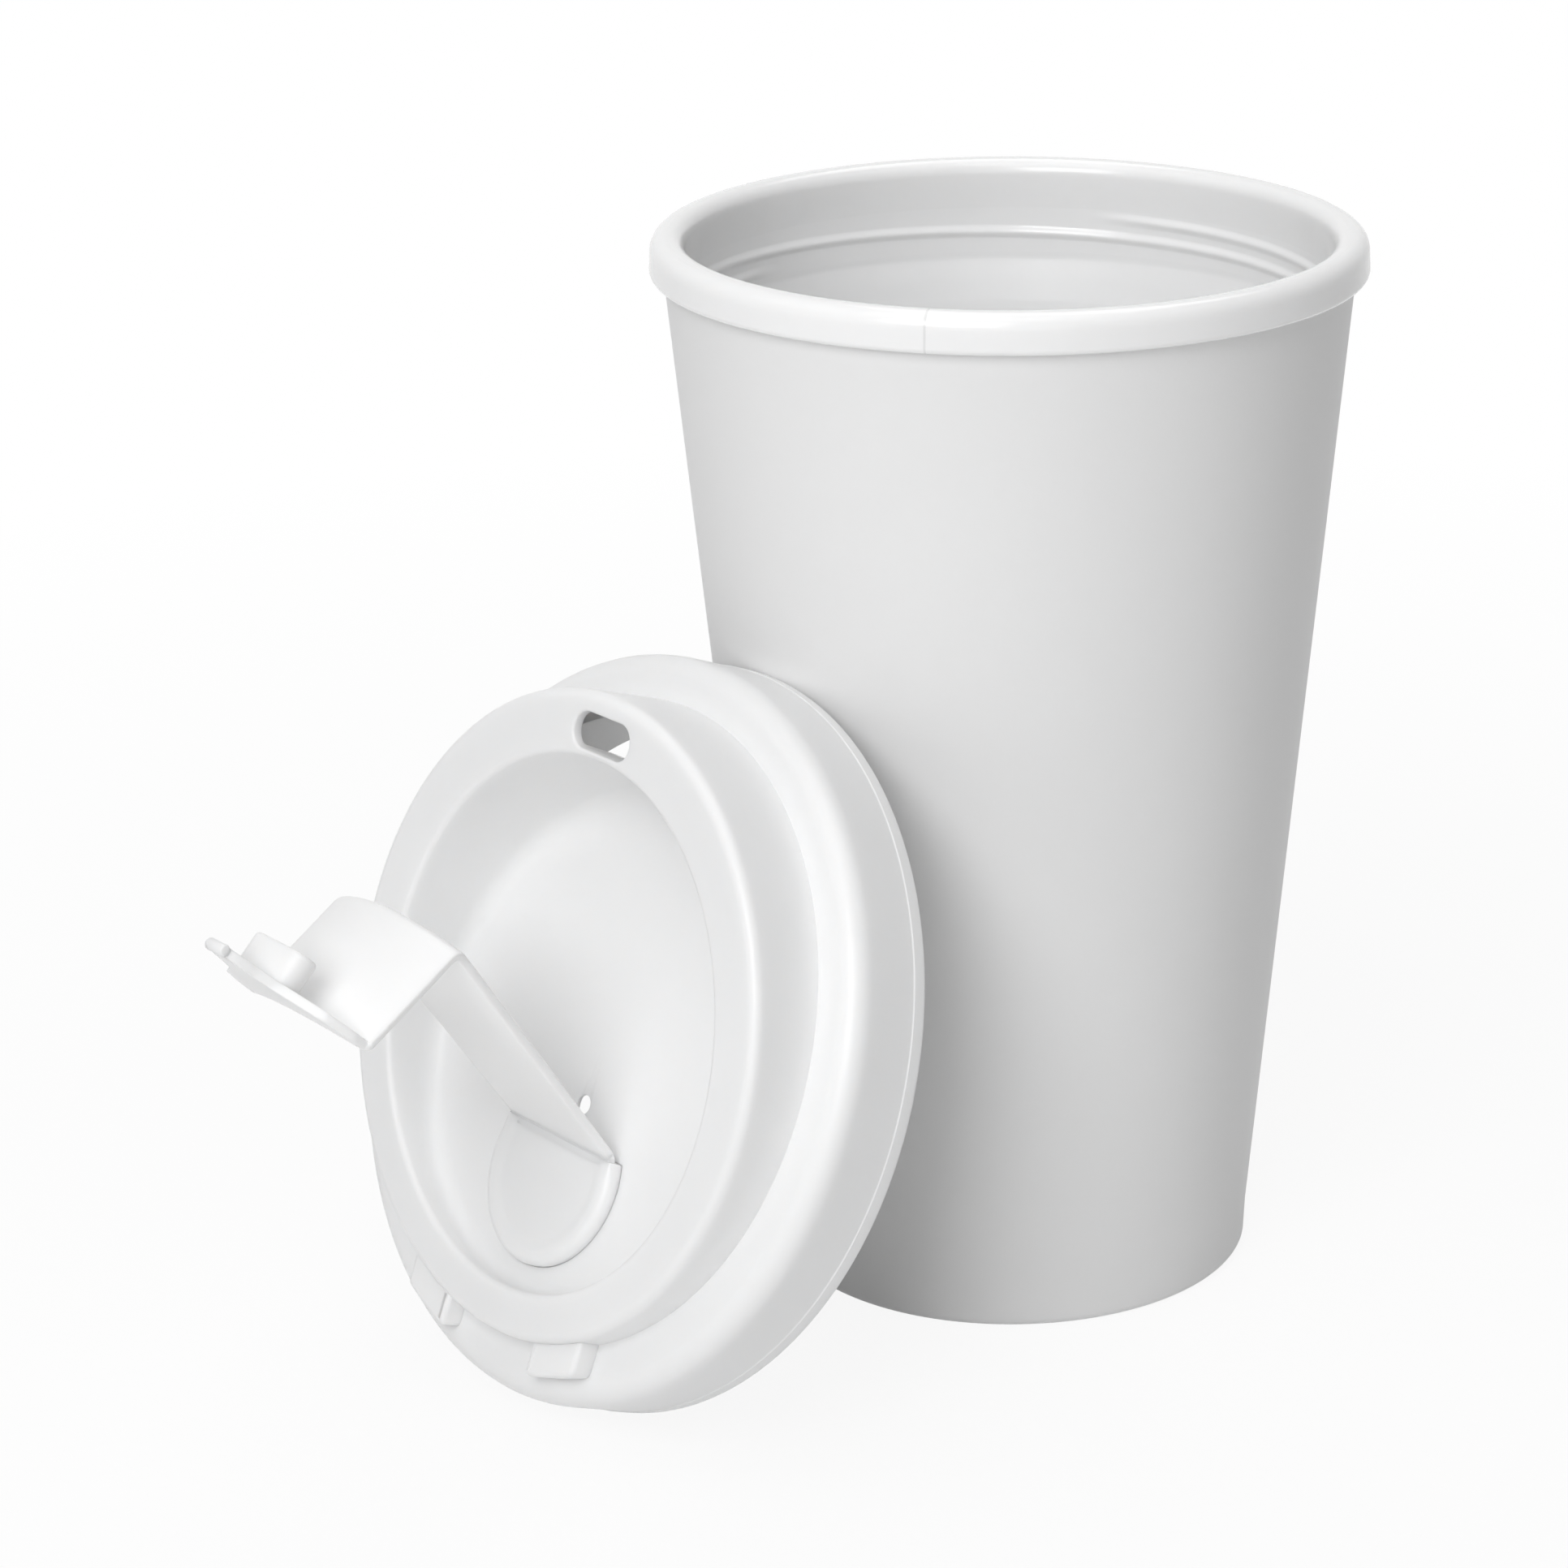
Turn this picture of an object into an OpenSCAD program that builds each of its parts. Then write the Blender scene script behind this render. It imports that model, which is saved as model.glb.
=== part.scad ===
// Reusable double-wall coffee cup, with its sip lid taken off and leaning against it.
// The origin is the centre of the cup's base, +Z is up, and the lid leans on the -Y side.

/* [Cup] */
// Height of the cup from the table to the top of its lip
cup_h = 137.5; // [110:0.5:170]
// Outer radius of the lip's band
rim_r = 45.5; // [37.5:0.1:55]
// Height of the band that overhangs the outer wall
band_h = 5; // [3.5:0.1:8]
// Radius of the lip's rounded edges
lip_round = 1.9; // [0.8:0.1:2.1]
// How far the band overhangs the outer wall
band_out = 1.8; // [1:0.1:2.4]
// Outer radius of the outer wall, carried down to the table
wall_base_r = 30.7; // [25:0.1:36]
// Height of the steeper foot of the outer wall
foot_h = 5.5; // [3:0.5:12]
// Thickness of the outer wall
outer_wall = 1.1; // [0.8:0.1:1.5]
// Depth of the hollow under the base
base_hollow = 1.4; // [0.6:0.1:3]

/* [Liner] */
// Width of the lip, from the band's outside to the mouth's sealing wall
lip_w = 4.5; // [4.5:0.1:5.5]
// Depth below the top of the lip where the mouth's wall starts to taper
seal_depth = 6.4; // [5:0.1:6.5]
// Thickness of the liner
liner_wall = 1.15; // [0.8:0.05:1.5]
// How far the thread's ridges stand out of the mouth's wall
thread_out = 0.6; // [0.3:0.05:0.8]
// Fall of each ridge in one full turn
thread_lead = 5; // [3.8:0.1:5.4]
// Depth of the ridges' upper ends below the top of the lip
thread_depth = 7.4; // [7:0.1:8]
// Turn that each ridge of the mouth covers
thread_sweep = 300; // [120:10:320]
// Depth of the step below the thread, where the liner leaves the outer wall
step_depth = 15.8; // [15:0.1:20]
// How far the liner steps inwards there
step_in = 0.95; // [0.5:0.05:2]
// Air gap between the two walls at the liner's floor
air_gap = 2.75; // [1.5:0.05:5]
// Height of the liner's floor above the table
liner_floor_z = 7; // [5:0.5:14]

/* [Lid] */
// Gap between the skirt and the lip's band when the lid is on
skirt_fit = 0.15; // [0.05:0.05:0.5]
// Thickness of the skirt
skirt_wall = 0.95; // [0.8:0.05:1.5]
// Height from the skirt's open edge to the shoulder
shoulder_h = 11.5; // [10:0.1:13]
// Radius of the shoulder's outer corner
shoulder_round = 5; // [2.5:0.1:5.5]
// Width of the shoulder, from the skirt's outside to the raised ring
shoulder_w = 5.6; // [4.6:0.1:5.9]
// Height of the sloped ledge above the shoulder, on the lid's axis
ring_h = 7.9; // [6.5:0.1:11]
// Slope of the ledge, which rises towards the drinking slot
ledge_tilt = 6.3; // [0:0.1:9]
// Rounding of the ring's upper edge
ring_round = 1.3; // [0.5:0.1:2]
// General wall of the lid
lid_wall = 1.3; // [1:0.05:1.8]
// Length of the drinking slot along the ring
slot_l = 11.2; // [8:0.1:16]
// Width of the drinking slot
slot_w = 4.6; // [3.8:0.1:5.6]
// Width of the ledge between the foot of the bowl's wall and the slot
slot_land = 3.1; // [3:0.1:3.5]
// Diameter of the vent hole
vent_d = 2.4; // [1.5:0.1:3]
// Depth of the plug below the shoulder's underside
plug_depth = 11.3; // [8:0.1:12.5]
// Gap between the plug and the mouth's wall
plug_fit = 1; // [0.8:0.05:1.4]

/* [Bowl] */
// Width of the ledge, from the ring's outside to the foot of the bowl's wall
ledge_w = 9.4; // [9.2:0.1:11]
// Rounding between the bowl's wall and its floor
bowl_round = 2.6; // [1.5:0.1:3]
// Lean of the bowl's wall
bowl_draft = 4; // [2:0.5:5]
// Slope of the bowl's floor, which falls towards the drinking slot
floor_tilt = 4.8; // [2:0.1:7]
// How far the bowl lies behind the lid's axis
bowl_back = 1.9; // [0:0.1:2.2]

/* [Flap] */
// Distance from the foot of the bowl's back wall to the living hinge
hinge_in = 19; // [17:0.1:23]
// Height of the hinge line above the shoulder
hinge_up = 0.4; // [0:0.1:2]
// Thickness of the flap
flap_t = 1.2; // [0.8:0.1:1.6]
// Width of the strap at the hinge
strap_w = 20.6; // [14:0.1:22]
// Width of the flap at its bends
riser_w = 24; // [16:0.1:26]
// Gap between the closed strap and the bowl's floor
flap_gap = 0.3; // [0.2:0.05:0.6]
// Gap between the closed riser's foot and the bowl's wall
riser_fit = 0.3; // [0.2:0.05:1]
// How far the finger tab reaches past the ring
tab_out = 3.3; // [3:0.1:8]
// How much tighter the riser curves than the bowl's floor
riser_curve_in = 3.6; // [2.5:0.1:7]
// Lean of the riser towards the slot when the flap is closed
riser_lean = 5; // [2:0.5:7]
// Gap all round the stopper in the slot
stopper_gap = 0.3; // [0.25:0.05:0.6]
// Depth of the stopper below the plate
stopper_h = 4.2; // [2:0.1:5]
// How far the flap stands open in its resting pose
open_angle = 60.6; // [0:0.1:160]

/* [Flap root] */
// Radius of the flap's root plate
root_r = 11.6; // [11:0.1:14]
// Distance from the foot of the bowl's back wall to the root plate's edge
root_edge = 2.7; // [2.3:0.1:4]
// Depth of the root plate's seat in the bowl's floor
root_seat = 0.4; // [0.2:0.05:0.7]
// Width of the fine gap round the root plate
root_gap = 0.15; // [0.05:0.01:0.3]

/* [Lugs] */
// Gap between the two lugs behind the ring
lug_gap = 17.6; // [16:0.1:28]
// Width of each lug
lug_w = 8.8; // [4:0.1:10]
// How far the lugs stand out behind the ring
lug_out = 2.9; // [2:0.1:5]

/* [Pose] */
// Lean of the lid's open side back from upright
lid_lean = 22; // [10:0.5:35]
// Gap between the leaning lid and the cup
lean_gap = 0.15; // [0.05:0.05:0.5]

/* [Hidden] */
$fn = 120;
round_steps = 8;
far = 200;

// Outer wall: its taper, and the radius of any skin of the cup at a height
wall_slope = (rim_r - band_out - wall_base_r) / (cup_h - band_h);
function wall_r(z) = wall_base_r + wall_slope * z;
foot_edge = 1.2;
foot_r = wall_r(foot_h) - 0.3;
foot_ring_w = 4;
base_t = 1.6;
tuck_depth = 2.6;
tuck_gap = 0.1;
wall_end_z = cup_h - tuck_depth;

// Liner: its neck lies against the outer wall, the thread and the step below it hang from the lip,
// and the main wall leaves the outer wall at the step
mouth_r = rim_r - lip_w;
seal_z = cup_h - seal_depth;
step_z = cup_h - step_depth;
step_drop = 1.2;
function neck_r(z) = min(mouth_r, wall_r(z) - outer_wall - tuck_gap - liner_wall);
neck_end_z = step_z + step_drop;
neck_slope = (mouth_r - neck_r(neck_end_z)) / (seal_z - neck_end_z);
liner_top_r = neck_r(step_z - step_drop) - step_in;
liner_floor_r = wall_r(liner_floor_z) - outer_wall - liner_wall - air_gap;
thread_starts = 2;
thread_from = 126;
ridge_half = 0.85;
liner_corner = 5;

// Lid: every inner surface follows the cup's lip and the wall thicknesses
skirt_in = rim_r + skirt_fit;
skirt_r = skirt_in + skirt_wall;
skirt_lip_h = 1.8;
skirt_lip_out = 0.12;
shoulder_under = shoulder_h - lid_wall;
ring_r = skirt_r - shoulder_w;
ledge_h = shoulder_h + ring_h;
ring_fillet = 1;
ring_draft = 3;
cap_draft = 9;
plug_r = mouth_r - plug_fit;
plug_end = shoulder_under - plug_depth;
plug_wall = 1.4;
bead_h = 1.2;
bead_out = plug_fit - 0.05;
plug_thread_sweep = 70;
thread_catch = 0.2;
plug_thread_out = plug_fit - thread_out + thread_catch;

// Bowl: its floor lies under the closed flap, the slot keeps its distance from its front wall, and the
// flap's hinge and root keep theirs from its back wall
bowl_floor_r = ring_r - ledge_w;
slot_y = bowl_floor_r - bowl_back + slot_land + slot_w / 2;
hinge_back = bowl_back + bowl_floor_r - hinge_in;
hinge_h = shoulder_h + hinge_up;
root_back = bowl_back + bowl_floor_r - root_edge - root_r;
floor_h = hinge_h - flap_t - flap_gap;
floor_dish = 0.5;

// Flap: where its riser and plate come out when it is closed, measured from the hinge line
function ledge_z(y) = ledge_h + y * tan(ledge_tilt);
corner_lost = bowl_round * tan(45 - bowl_draft / 2) - sqrt(pow(bowl_round, 2) - pow(bowl_round - flap_gap, 2));
riser_y = hinge_back + bowl_floor_r - bowl_back - corner_lost - riser_fit;
riser_z = -flap_t - riser_y * tan(floor_tilt);
plate_z = ledge_z(-hinge_back) + flap_gap + flap_t - hinge_h;
riser_h = plate_z + riser_y * tan(ledge_tilt) - riser_z;
riser_curve_r = bowl_floor_r - riser_curve_in;
tip_y = ring_r + tab_out;
hinge_gap = 0.35;
vent_y = 4.4 - hinge_back;
stopper_lead = 0.9;
nub_d = vent_d - 0.8;
nub_l = 1.3;
tab_w = 6;
tab_l = 7.5;
bead_d = 1.9;

// Pose: the lid stands on its skirt's edge and touches the cup with the top of that edge
edge_r = skirt_r + skirt_lip_out;
lid_z = edge_r * cos(lid_lean);
touch_z = 2 * lid_z;
lid_y = -(wall_r(touch_z) + edge_r * sin(lid_lean) + lean_gap);

// Points of an arc about c with radius r, from angle a to angle b
function arc(c, r, a, b, n = round_steps) =
    [for (i = [0:n]) c + r * [cos(a + (b - a) * i / n), sin(a + (b - a) * i / n)]];

// Outer wall of the cup, open at the top and closed by a base that stands on a foot ring
module outer_cup() {
    inner_foot = foot_r - foot_ring_w;
    color("white")
    rotate_extrude()
    polygon(concat(
        [[0, base_hollow], [inner_foot - base_hollow, base_hollow], [inner_foot, 0]],
        arc([foot_r - foot_edge, foot_edge], foot_edge, -90, 0),
        [[wall_r(foot_h), foot_h], [wall_r(wall_end_z), wall_end_z]],
        [[wall_r(wall_end_z) - outer_wall, wall_end_z], [wall_r(foot_h) - outer_wall, foot_h]],
        arc([foot_r - outer_wall - foot_edge, base_hollow + base_t + foot_edge], foot_edge, 0, -90),
        [[0, base_hollow + base_t]]
    ));
}

// Ridges of a thread on a wall of radius wall_at(z), with their upper ends at height top;
// they fall clockwise, sink into the wall at both ends, and stand inwards, or outwards if out is negative
module thread(wall_at, out, top, sweep, from) {
    steps = ceil(sweep / 7.5);
    root = out > 0 ? 0.3 : -0.3;
    section = [[-1, 0], [-0.3, 1], [0.3, 1], [1, 0]];
    across = out > 0 ? [0, 1, 2, 3] : [3, 2, 1, 0];
    for (s = [0:thread_starts - 1]) {
        points = [
            for (i = [0:steps])
            let (
                run = sweep * i / steps,
                rise = min(1, run / 15 - 0.25, (sweep - run) / 15 - 0.25),
                a = from + s * 360 / thread_starts - run,
                middle = top - thread_lead * run / 360
            )
            for (k = across)
            let (
                z = middle + ridge_half * section[k][0],
                r = wall_at(z) + root - section[k][1] * (root + out * rise)
            )
            [r * cos(a), r * sin(a), z]
        ];
        polyhedron(points, concat(
            [[3, 2, 1, 0]],
            [for (i = [0:steps - 1]) for (k = [0:3])
                [4 * i + k, 4 * i + (k + 1) % 4, 4 * i + 4 + (k + 1) % 4, 4 * i + 4 + k]],
            [[4 * steps, 4 * steps + 1, 4 * steps + 2, 4 * steps + 3]]
        ));
    }
}

// Liner with the rounded lip, the band over the outer wall, the sealing band and the thread
module inner_cup() {
    top_in = [mouth_r + lip_round, cup_h - lip_round];
    top_out = [rim_r - lip_round - 0.25, cup_h - lip_round];
    band_z = cup_h - band_h;
    edge = 0.6;
    tuck_out_low = wall_r(band_z) + tuck_gap;
    tuck_out_high = wall_r(wall_end_z) + tuck_gap;
    tuck_in = function (z) wall_r(z) - outer_wall - tuck_gap;
    mouth_wall = function (z) z > seal_z ? mouth_r : mouth_r - (seal_z - z) * neck_slope;
    liner_slope = (liner_top_r - liner_floor_r) / (step_z - step_drop - liner_floor_z);
    floor_edge = liner_floor_r + liner_slope * liner_corner;
    color("ghostwhite")
    union() {
        rotate_extrude()
        polygon(concat(
            [[0, liner_floor_z - liner_wall]],
            arc([floor_edge - liner_corner + liner_wall / 2, liner_floor_z + liner_corner - liner_wall / 2],
                liner_corner + liner_wall / 2, -90, 0),
            [[liner_top_r + liner_wall, step_z - step_drop],
             [tuck_in(neck_end_z), neck_end_z],
             [tuck_in(wall_end_z), wall_end_z + tuck_gap], [tuck_out_high, wall_end_z + tuck_gap],
             [tuck_out_low, band_z]],
            arc([rim_r - edge, band_z + edge], edge, -90, 0, 4),
            arc(top_out, lip_round, 0, 90),
            arc(top_in, lip_round, 90, 180),
            [[mouth_r, seal_z], [mouth_wall(neck_end_z), neck_end_z], [liner_top_r, step_z - step_drop]],
            arc([floor_edge - liner_corner, liner_floor_z + liner_corner], liner_corner, 0, -90),
            [[0, liner_floor_z]]
        ));
        thread(mouth_wall, thread_out, cup_h - thread_depth, thread_sweep, thread_from);
    }
}

// Moves the lid's own frame, with its open side at z = 0, to where the lid leans
module place_lid() {
    translate([0, lid_y, lid_z])
    rotate([90 - lid_lean, 0, 0])
    children();
}

// Tilts a shape about the lid's axis at the height of the ledge
module on_ledge() {
    translate([0, 0, ledge_h])
    rotate([ledge_tilt, 0, 0])
    children();
}

// Tilts a shape to the bowl's floor, with z = 0 on the floor's middle
module on_floor() {
    translate([0, -bowl_back, floor_h - (hinge_back - bowl_back) * tan(floor_tilt)])
    rotate([-floor_tilt, 0, 0])
    children();
}

// Skirt, shoulder and raised ring, before the ledge cuts the ring's top
module lid_body() {
    top_z = ledge_z(far / 4);
    corner = [skirt_r - shoulder_round, shoulder_h - shoulder_round];
    blend = acos((ring_r + ring_fillet - corner[0]) / (shoulder_round + ring_fillet));
    hollow = corner + (shoulder_round + ring_fillet) * [cos(blend), sin(blend)];
    rotate_extrude()
    polygon(concat(
        [[0, plug_end], [plug_r, plug_end], [skirt_in, 0], [edge_r, 0],
         [edge_r, skirt_lip_h], [skirt_r, skirt_lip_h + skirt_lip_out]],
        arc(corner, shoulder_round, 0, blend),
        arc(hollow, ring_fillet, blend + 180, 180),
        [[ring_r - (top_z - shoulder_h) * tan(ring_draft), top_z], [0, top_z]]
    ));
}

// Everything below the ledge, with the ring's rounded upper edge
module ledge_cap() {
    top_r = ring_r - (ledge_h - shoulder_h) * tan(ring_draft);
    cap_drop = 2.4;
    on_ledge()
    rotate_extrude()
    polygon(concat(
        [[0, -far / 4], [far / 2, -far / 4], [far / 2, -cap_drop], [top_r + cap_drop * tan(cap_draft), -cap_drop]],
        arc([top_r - ring_round, -ring_round], ring_round, cap_draft, 90),
        [[0, 0]]
    ));
}

// The bowl's hollow, or with a wall thickness the bowl's own outer shape
module bowl(wall = 0) {
    r = bowl_floor_r + wall;
    rise = far / 4;
    turn = 90 - bowl_draft;
    round_r = bowl_round + wall;
    run = round_r * tan(turn / 2);
    on_floor()
    rotate_extrude()
    polygon(concat(
        [[0, -wall - floor_dish], [r * 0.35, -wall - floor_dish * 0.8], [r * 0.7, -wall - floor_dish * 0.3]],
        arc([r - run, round_r - wall], round_r, -90, -bowl_draft),
        [[r + rise * tan(bowl_draft), rise - wall], [0, rise - wall]]
    ));
}

// Annular space between the skirt and the plug, which takes the cup's lip
module lip_channel() {
    rotate_extrude()
    polygon(concat(
        [[plug_r, plug_end - 1], [skirt_r + 5, plug_end - 1], [skirt_r + 5, 0], [skirt_in, 0]],
        arc([skirt_in - shoulder_round + 1, shoulder_under - shoulder_round + 1], shoulder_round - 1, 0, 90),
        [[plug_r, shoulder_under]]
    ));
}

// Hollow under the ledge and inside the plug, down to the lid's open side
module under_hollow() {
    wall_in = function (z) ring_r - lid_wall - (z - shoulder_h) * tan(ring_draft);
    top_z = ledge_z(far / 4);
    intersection() {
        rotate_extrude()
        polygon([
            [0, plug_end - 1], [plug_r - plug_wall, plug_end - 1], [plug_r - plug_wall, shoulder_h],
            [wall_in(shoulder_h + lid_wall), shoulder_h + lid_wall], [wall_in(top_z), top_z], [0, top_z]
        ]);
        on_ledge()
        translate([0, 0, -lid_wall - far / 2])
        cube([far, far, far], center = true);
    }
}

// Sealing bead round the plug, and the short threads that catch under the mouth's ridges
module plug_grip() {
    bead_z = shoulder_under - 3.2;
    thread_top = shoulder_under - thread_depth - 1.2;
    thread(function (z) plug_r, -plug_thread_out, thread_top, plug_thread_sweep, thread_from);
    rotate_extrude()
    polygon([
        [plug_r - 0.3, bead_z - bead_h], [plug_r + bead_out, bead_z - bead_h / 4],
        [plug_r + bead_out, bead_z + bead_h / 4], [plug_r - 0.3, bead_z + bead_h]
    ]);
}

// Obround of the drinking slot or the stopper, standing on the ledge's own plane
module obround(l, w, h) {
    linear_extrude(height = h)
    union() {
        square([l - w, w], center = true);
        for (side = [-1, 1])
            translate([side * (l - w) / 2, 0])
            circle(d = w, $fn = 48);
    }
}

// The two lugs that stand on the shoulder behind the ring, either side of the folded strap
module lugs() {
    foot_z = shoulder_h - shoulder_round + 1;
    lug_top = ledge_z(-ring_r) - 0.6;
    for (side = [-1, 1])
        intersection() {
            translate([side * (lug_gap + lug_w) / 2 - lug_w / 2, -ring_r - lug_out - 1, foot_z])
            cube([lug_w, lug_out + 8, lug_top - foot_z]);
            difference() {
                cylinder(r = ring_r + lug_out, h = lug_top + 1);
                translate([0, 0, -1])
                cylinder(r = ring_r - lid_wall / 2, h = lug_top + 3);
            }
        }
}

// Seat of the flap's root plate, or the plate itself without the gap
module root_shape(extra, h) {
    linear_extrude(height = h)
    difference() {
        translate([0, bowl_back - root_back])
        circle(r = root_r + extra);
        translate([-far / 2, bowl_back - hinge_back - hinge_gap / 2 + (extra > 0 ? extra : 0)])
        square([far, far]);
    }
}

// Lid: skirt, shoulder, sloped ring with its drinking slot, bowl with its vent, and plug
module lid() {
    color("whitesmoke")
    place_lid()
    difference() {
        union() {
            difference() {
                union() {
                    intersection() {
                        lid_body();
                        ledge_cap();
                    }
                    lugs();
                }
                difference() {
                    under_hollow();
                    bowl(lid_wall);
                }
                lip_channel();
            }
            plug_grip();
        }
        bowl();
        on_ledge()
        translate([0, slot_y / cos(ledge_tilt), -2 * lid_wall])
        obround(slot_l, slot_w, 4 * lid_wall);
        translate([0, vent_y, 0])
        cylinder(d = vent_d, h = ledge_h, $fn = 32);
        on_floor()
        translate([0, 0, -root_seat])
        root_shape(root_gap, bowl_round);
    }
}

// Root plate of the flap, let into the bowl's floor
module flap_base() {
    plate_h = root_seat + flap_gap + flap_t;
    color("whitesmoke")
    place_lid()
    on_floor()
    translate([0, 0, -root_seat])
    difference() {
        root_shape(0, plate_h);
        translate([0, bowl_back - root_back, plate_h - 0.45])
        cylinder(r1 = root_r - 1.9, r2 = root_r - 1.3, h = 1);
    }
}

// Puts a shape that is drawn lying closed, from the hinge towards the slot, where the flap stands
module open_flap() {
    translate([0, -hinge_back, hinge_h])
    rotate([open_angle, 0, 0])
    children();
}

// Strap of the flap, which widens from the hinge and ends inside the curved riser
module strap() {
    intersection() {
        rotate([-floor_tilt, 0, 0])
        translate([-riser_w, hinge_gap / 2, -flap_t])
        cube([2 * riser_w, far, flap_t]);
        translate([0, 0, -far / 2])
        linear_extrude(height = far)
        intersection() {
            polygon([
                [-strap_w / 2, 0], [strap_w / 2, 0], [riser_w / 2, riser_y - 4], [riser_w / 2, riser_y],
                [-riser_w / 2, riser_y], [-riser_w / 2, riser_y - 4]
            ]);
            translate([0, riser_y - riser_curve_r])
            circle(r = riser_curve_r - flap_t / 2);
        }
    }
}

// Riser of the flap, a piece of a leaning tube that follows the bowl's wall up to the ledge
module riser() {
    reach = far / 4;
    intersection() {
        translate([0, riser_y, riser_z])
        rotate([-riser_lean, 0, 0])
        translate([0, -riser_curve_r, -reach])
        difference() {
            cylinder(r = riser_curve_r, h = 2 * reach);
            translate([0, 0, -1])
            cylinder(r = riser_curve_r - flap_t, h = 2 * reach + 2);
        }
        translate([-riser_w / 2, riser_y - riser_curve_r / 2, -reach])
        cube([riser_w, riser_curve_r, 2 * reach]);
        rotate([-floor_tilt, 0, 0])
        translate([-riser_w, 0, -flap_t])
        cube([2 * riser_w, far, far]);
        on_plate()
        translate([-riser_w, -far / 2, -far])
        cube([2 * riser_w, far, far]);
    }
}

// Moves a shape to the top face of the plate, with y still measured from the hinge line
module on_plate() {
    translate([0, 0, plate_z])
    rotate([ledge_tilt, 0, 0])
    children();
}

// Plate of the flap with its finger tab, seen from above and drawn from the riser to the tip
module plate() {
    tip = (tip_y + hinge_back) / cos(ledge_tilt);
    start = (riser_y + riser_h * tan(riser_lean)) / cos(ledge_tilt);
    side = riser_w / 2;
    on_plate()
    translate([0, 0, -flap_t])
    linear_extrude(height = flap_t)
    difference() {
        polygon([
            [-side, start - 8], [side, start - 8], [side, start + 2], [side - 1.6, start + 5],
            [tab_w / 2 + 1.6, tip - tab_l + 0.6], [tab_w / 2, tip - tab_l + 2.4],
            [tab_w / 2 - 0.4, tip - 0.9], [tab_w / 2 - 1.4, tip], [-tab_w / 2 + 1.4, tip],
            [-tab_w / 2 + 0.4, tip - 0.9], [-tab_w / 2, tip - tab_l + 2.4],
            [-tab_w / 2 - 1.6, tip - tab_l + 0.6], [-side + 1.6, start + 5], [-side, start + 2]
        ]);
        translate([0, start - riser_curve_r])
        circle(r = riser_curve_r - flap_t / 2);
    }
}

// Stopper under the plate, with a tapered lower end that finds the slot as the flap swings in
module stopper() {
    l = slot_l - 2 * stopper_gap;
    w = slot_w - 2 * stopper_gap;
    end_w = w - stopper_lead;
    on_plate()
    translate([0, (slot_y + hinge_back) / cos(ledge_tilt) - (flap_gap + flap_t) * sin(ledge_tilt), -flap_t - stopper_h])
    union() {
        translate([0, 0, stopper_lead])
        obround(l, w, stopper_h - stopper_lead + flap_t / 2);
        rotate([90, 0, 90])
        linear_extrude(height = l - w, center = true)
        polygon([[-end_w / 2, 0], [end_w / 2, 0], [w / 2, stopper_lead], [-w / 2, stopper_lead]]);
        for (side = [-1, 1])
            translate([side * (l - w) / 2, 0, 0])
            cylinder(d1 = end_w, d2 = w, h = stopper_lead, $fn = 48);
    }
}

// Flap: strap, riser and plate in one moulding, with stopper, vent nub and finger bead
module flap() {
    color("white")
    place_lid()
    open_flap()
    union() {
        strap();
        riser();
        plate();
        stopper();
        on_plate()
        translate([0, (tip_y + hinge_back) / cos(ledge_tilt) - bead_d / 2, -flap_t / 2 - 0.2])
        rotate([0, 90, 0])
        cylinder(d = bead_d, h = tab_w - 1.4, center = true, $fn = 32);
        rotate([-floor_tilt, 0, 0])
        translate([0, (vent_y + hinge_back) / cos(floor_tilt), -flap_t - nub_l])
        cylinder(d1 = nub_d - 0.7, d2 = nub_d, h = nub_l + flap_t / 2, $fn = 32);
    }
}

outer_cup();
inner_cup();
lid();
flap_base();
flap();
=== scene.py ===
"""Reusable double-wall coffee cup and its sip lid: the looks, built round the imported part.

All sizes are in millimetres in the piece's own frame, and turn to metres when a mesh is made.
The cup's frame is the row's frame. The lid's frame has its open side at height zero, its second
axis towards the drinking slot, and its third axis out of the lid's top.
"""

import logging
from dataclasses import dataclass
from enum import Enum
from functools import cache
from typing import Any, Callable, Iterable, Sequence

import bpy
import numpy as np
from mathutils import Matrix

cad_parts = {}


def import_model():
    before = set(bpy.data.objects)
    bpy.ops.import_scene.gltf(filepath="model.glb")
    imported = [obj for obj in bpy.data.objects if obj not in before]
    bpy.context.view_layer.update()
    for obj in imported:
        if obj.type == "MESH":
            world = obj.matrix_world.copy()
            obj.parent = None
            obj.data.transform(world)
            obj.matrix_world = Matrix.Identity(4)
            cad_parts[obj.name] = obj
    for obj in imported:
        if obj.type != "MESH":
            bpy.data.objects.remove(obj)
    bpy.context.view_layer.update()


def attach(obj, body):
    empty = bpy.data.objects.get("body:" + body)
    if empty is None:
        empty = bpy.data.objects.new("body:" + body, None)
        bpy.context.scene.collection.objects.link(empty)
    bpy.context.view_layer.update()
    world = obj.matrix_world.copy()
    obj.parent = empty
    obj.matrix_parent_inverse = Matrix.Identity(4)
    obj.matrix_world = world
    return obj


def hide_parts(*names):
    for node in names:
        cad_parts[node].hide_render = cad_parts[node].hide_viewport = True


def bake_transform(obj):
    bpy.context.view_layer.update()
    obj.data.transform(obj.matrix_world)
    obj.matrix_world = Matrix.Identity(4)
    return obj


LOG = logging.getLogger("cup_scene")
MM = 0.001
RUN_POINTS = np.array([0.06, 0.5, 0.94])
WHITE = (1.0, 1.0, 1.0, 1.0)
SHARP = 35.0
Corners = Sequence[tuple[float, float, float]]


class Part(Enum):
    """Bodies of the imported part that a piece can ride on."""

    CUP = "cup"
    FLAP = "flap"


class Slot(Enum):
    """Material slots of the record."""

    OUTER_WALL = "outer_wall"
    LINER = "liner"
    LID = "lid"


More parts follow.
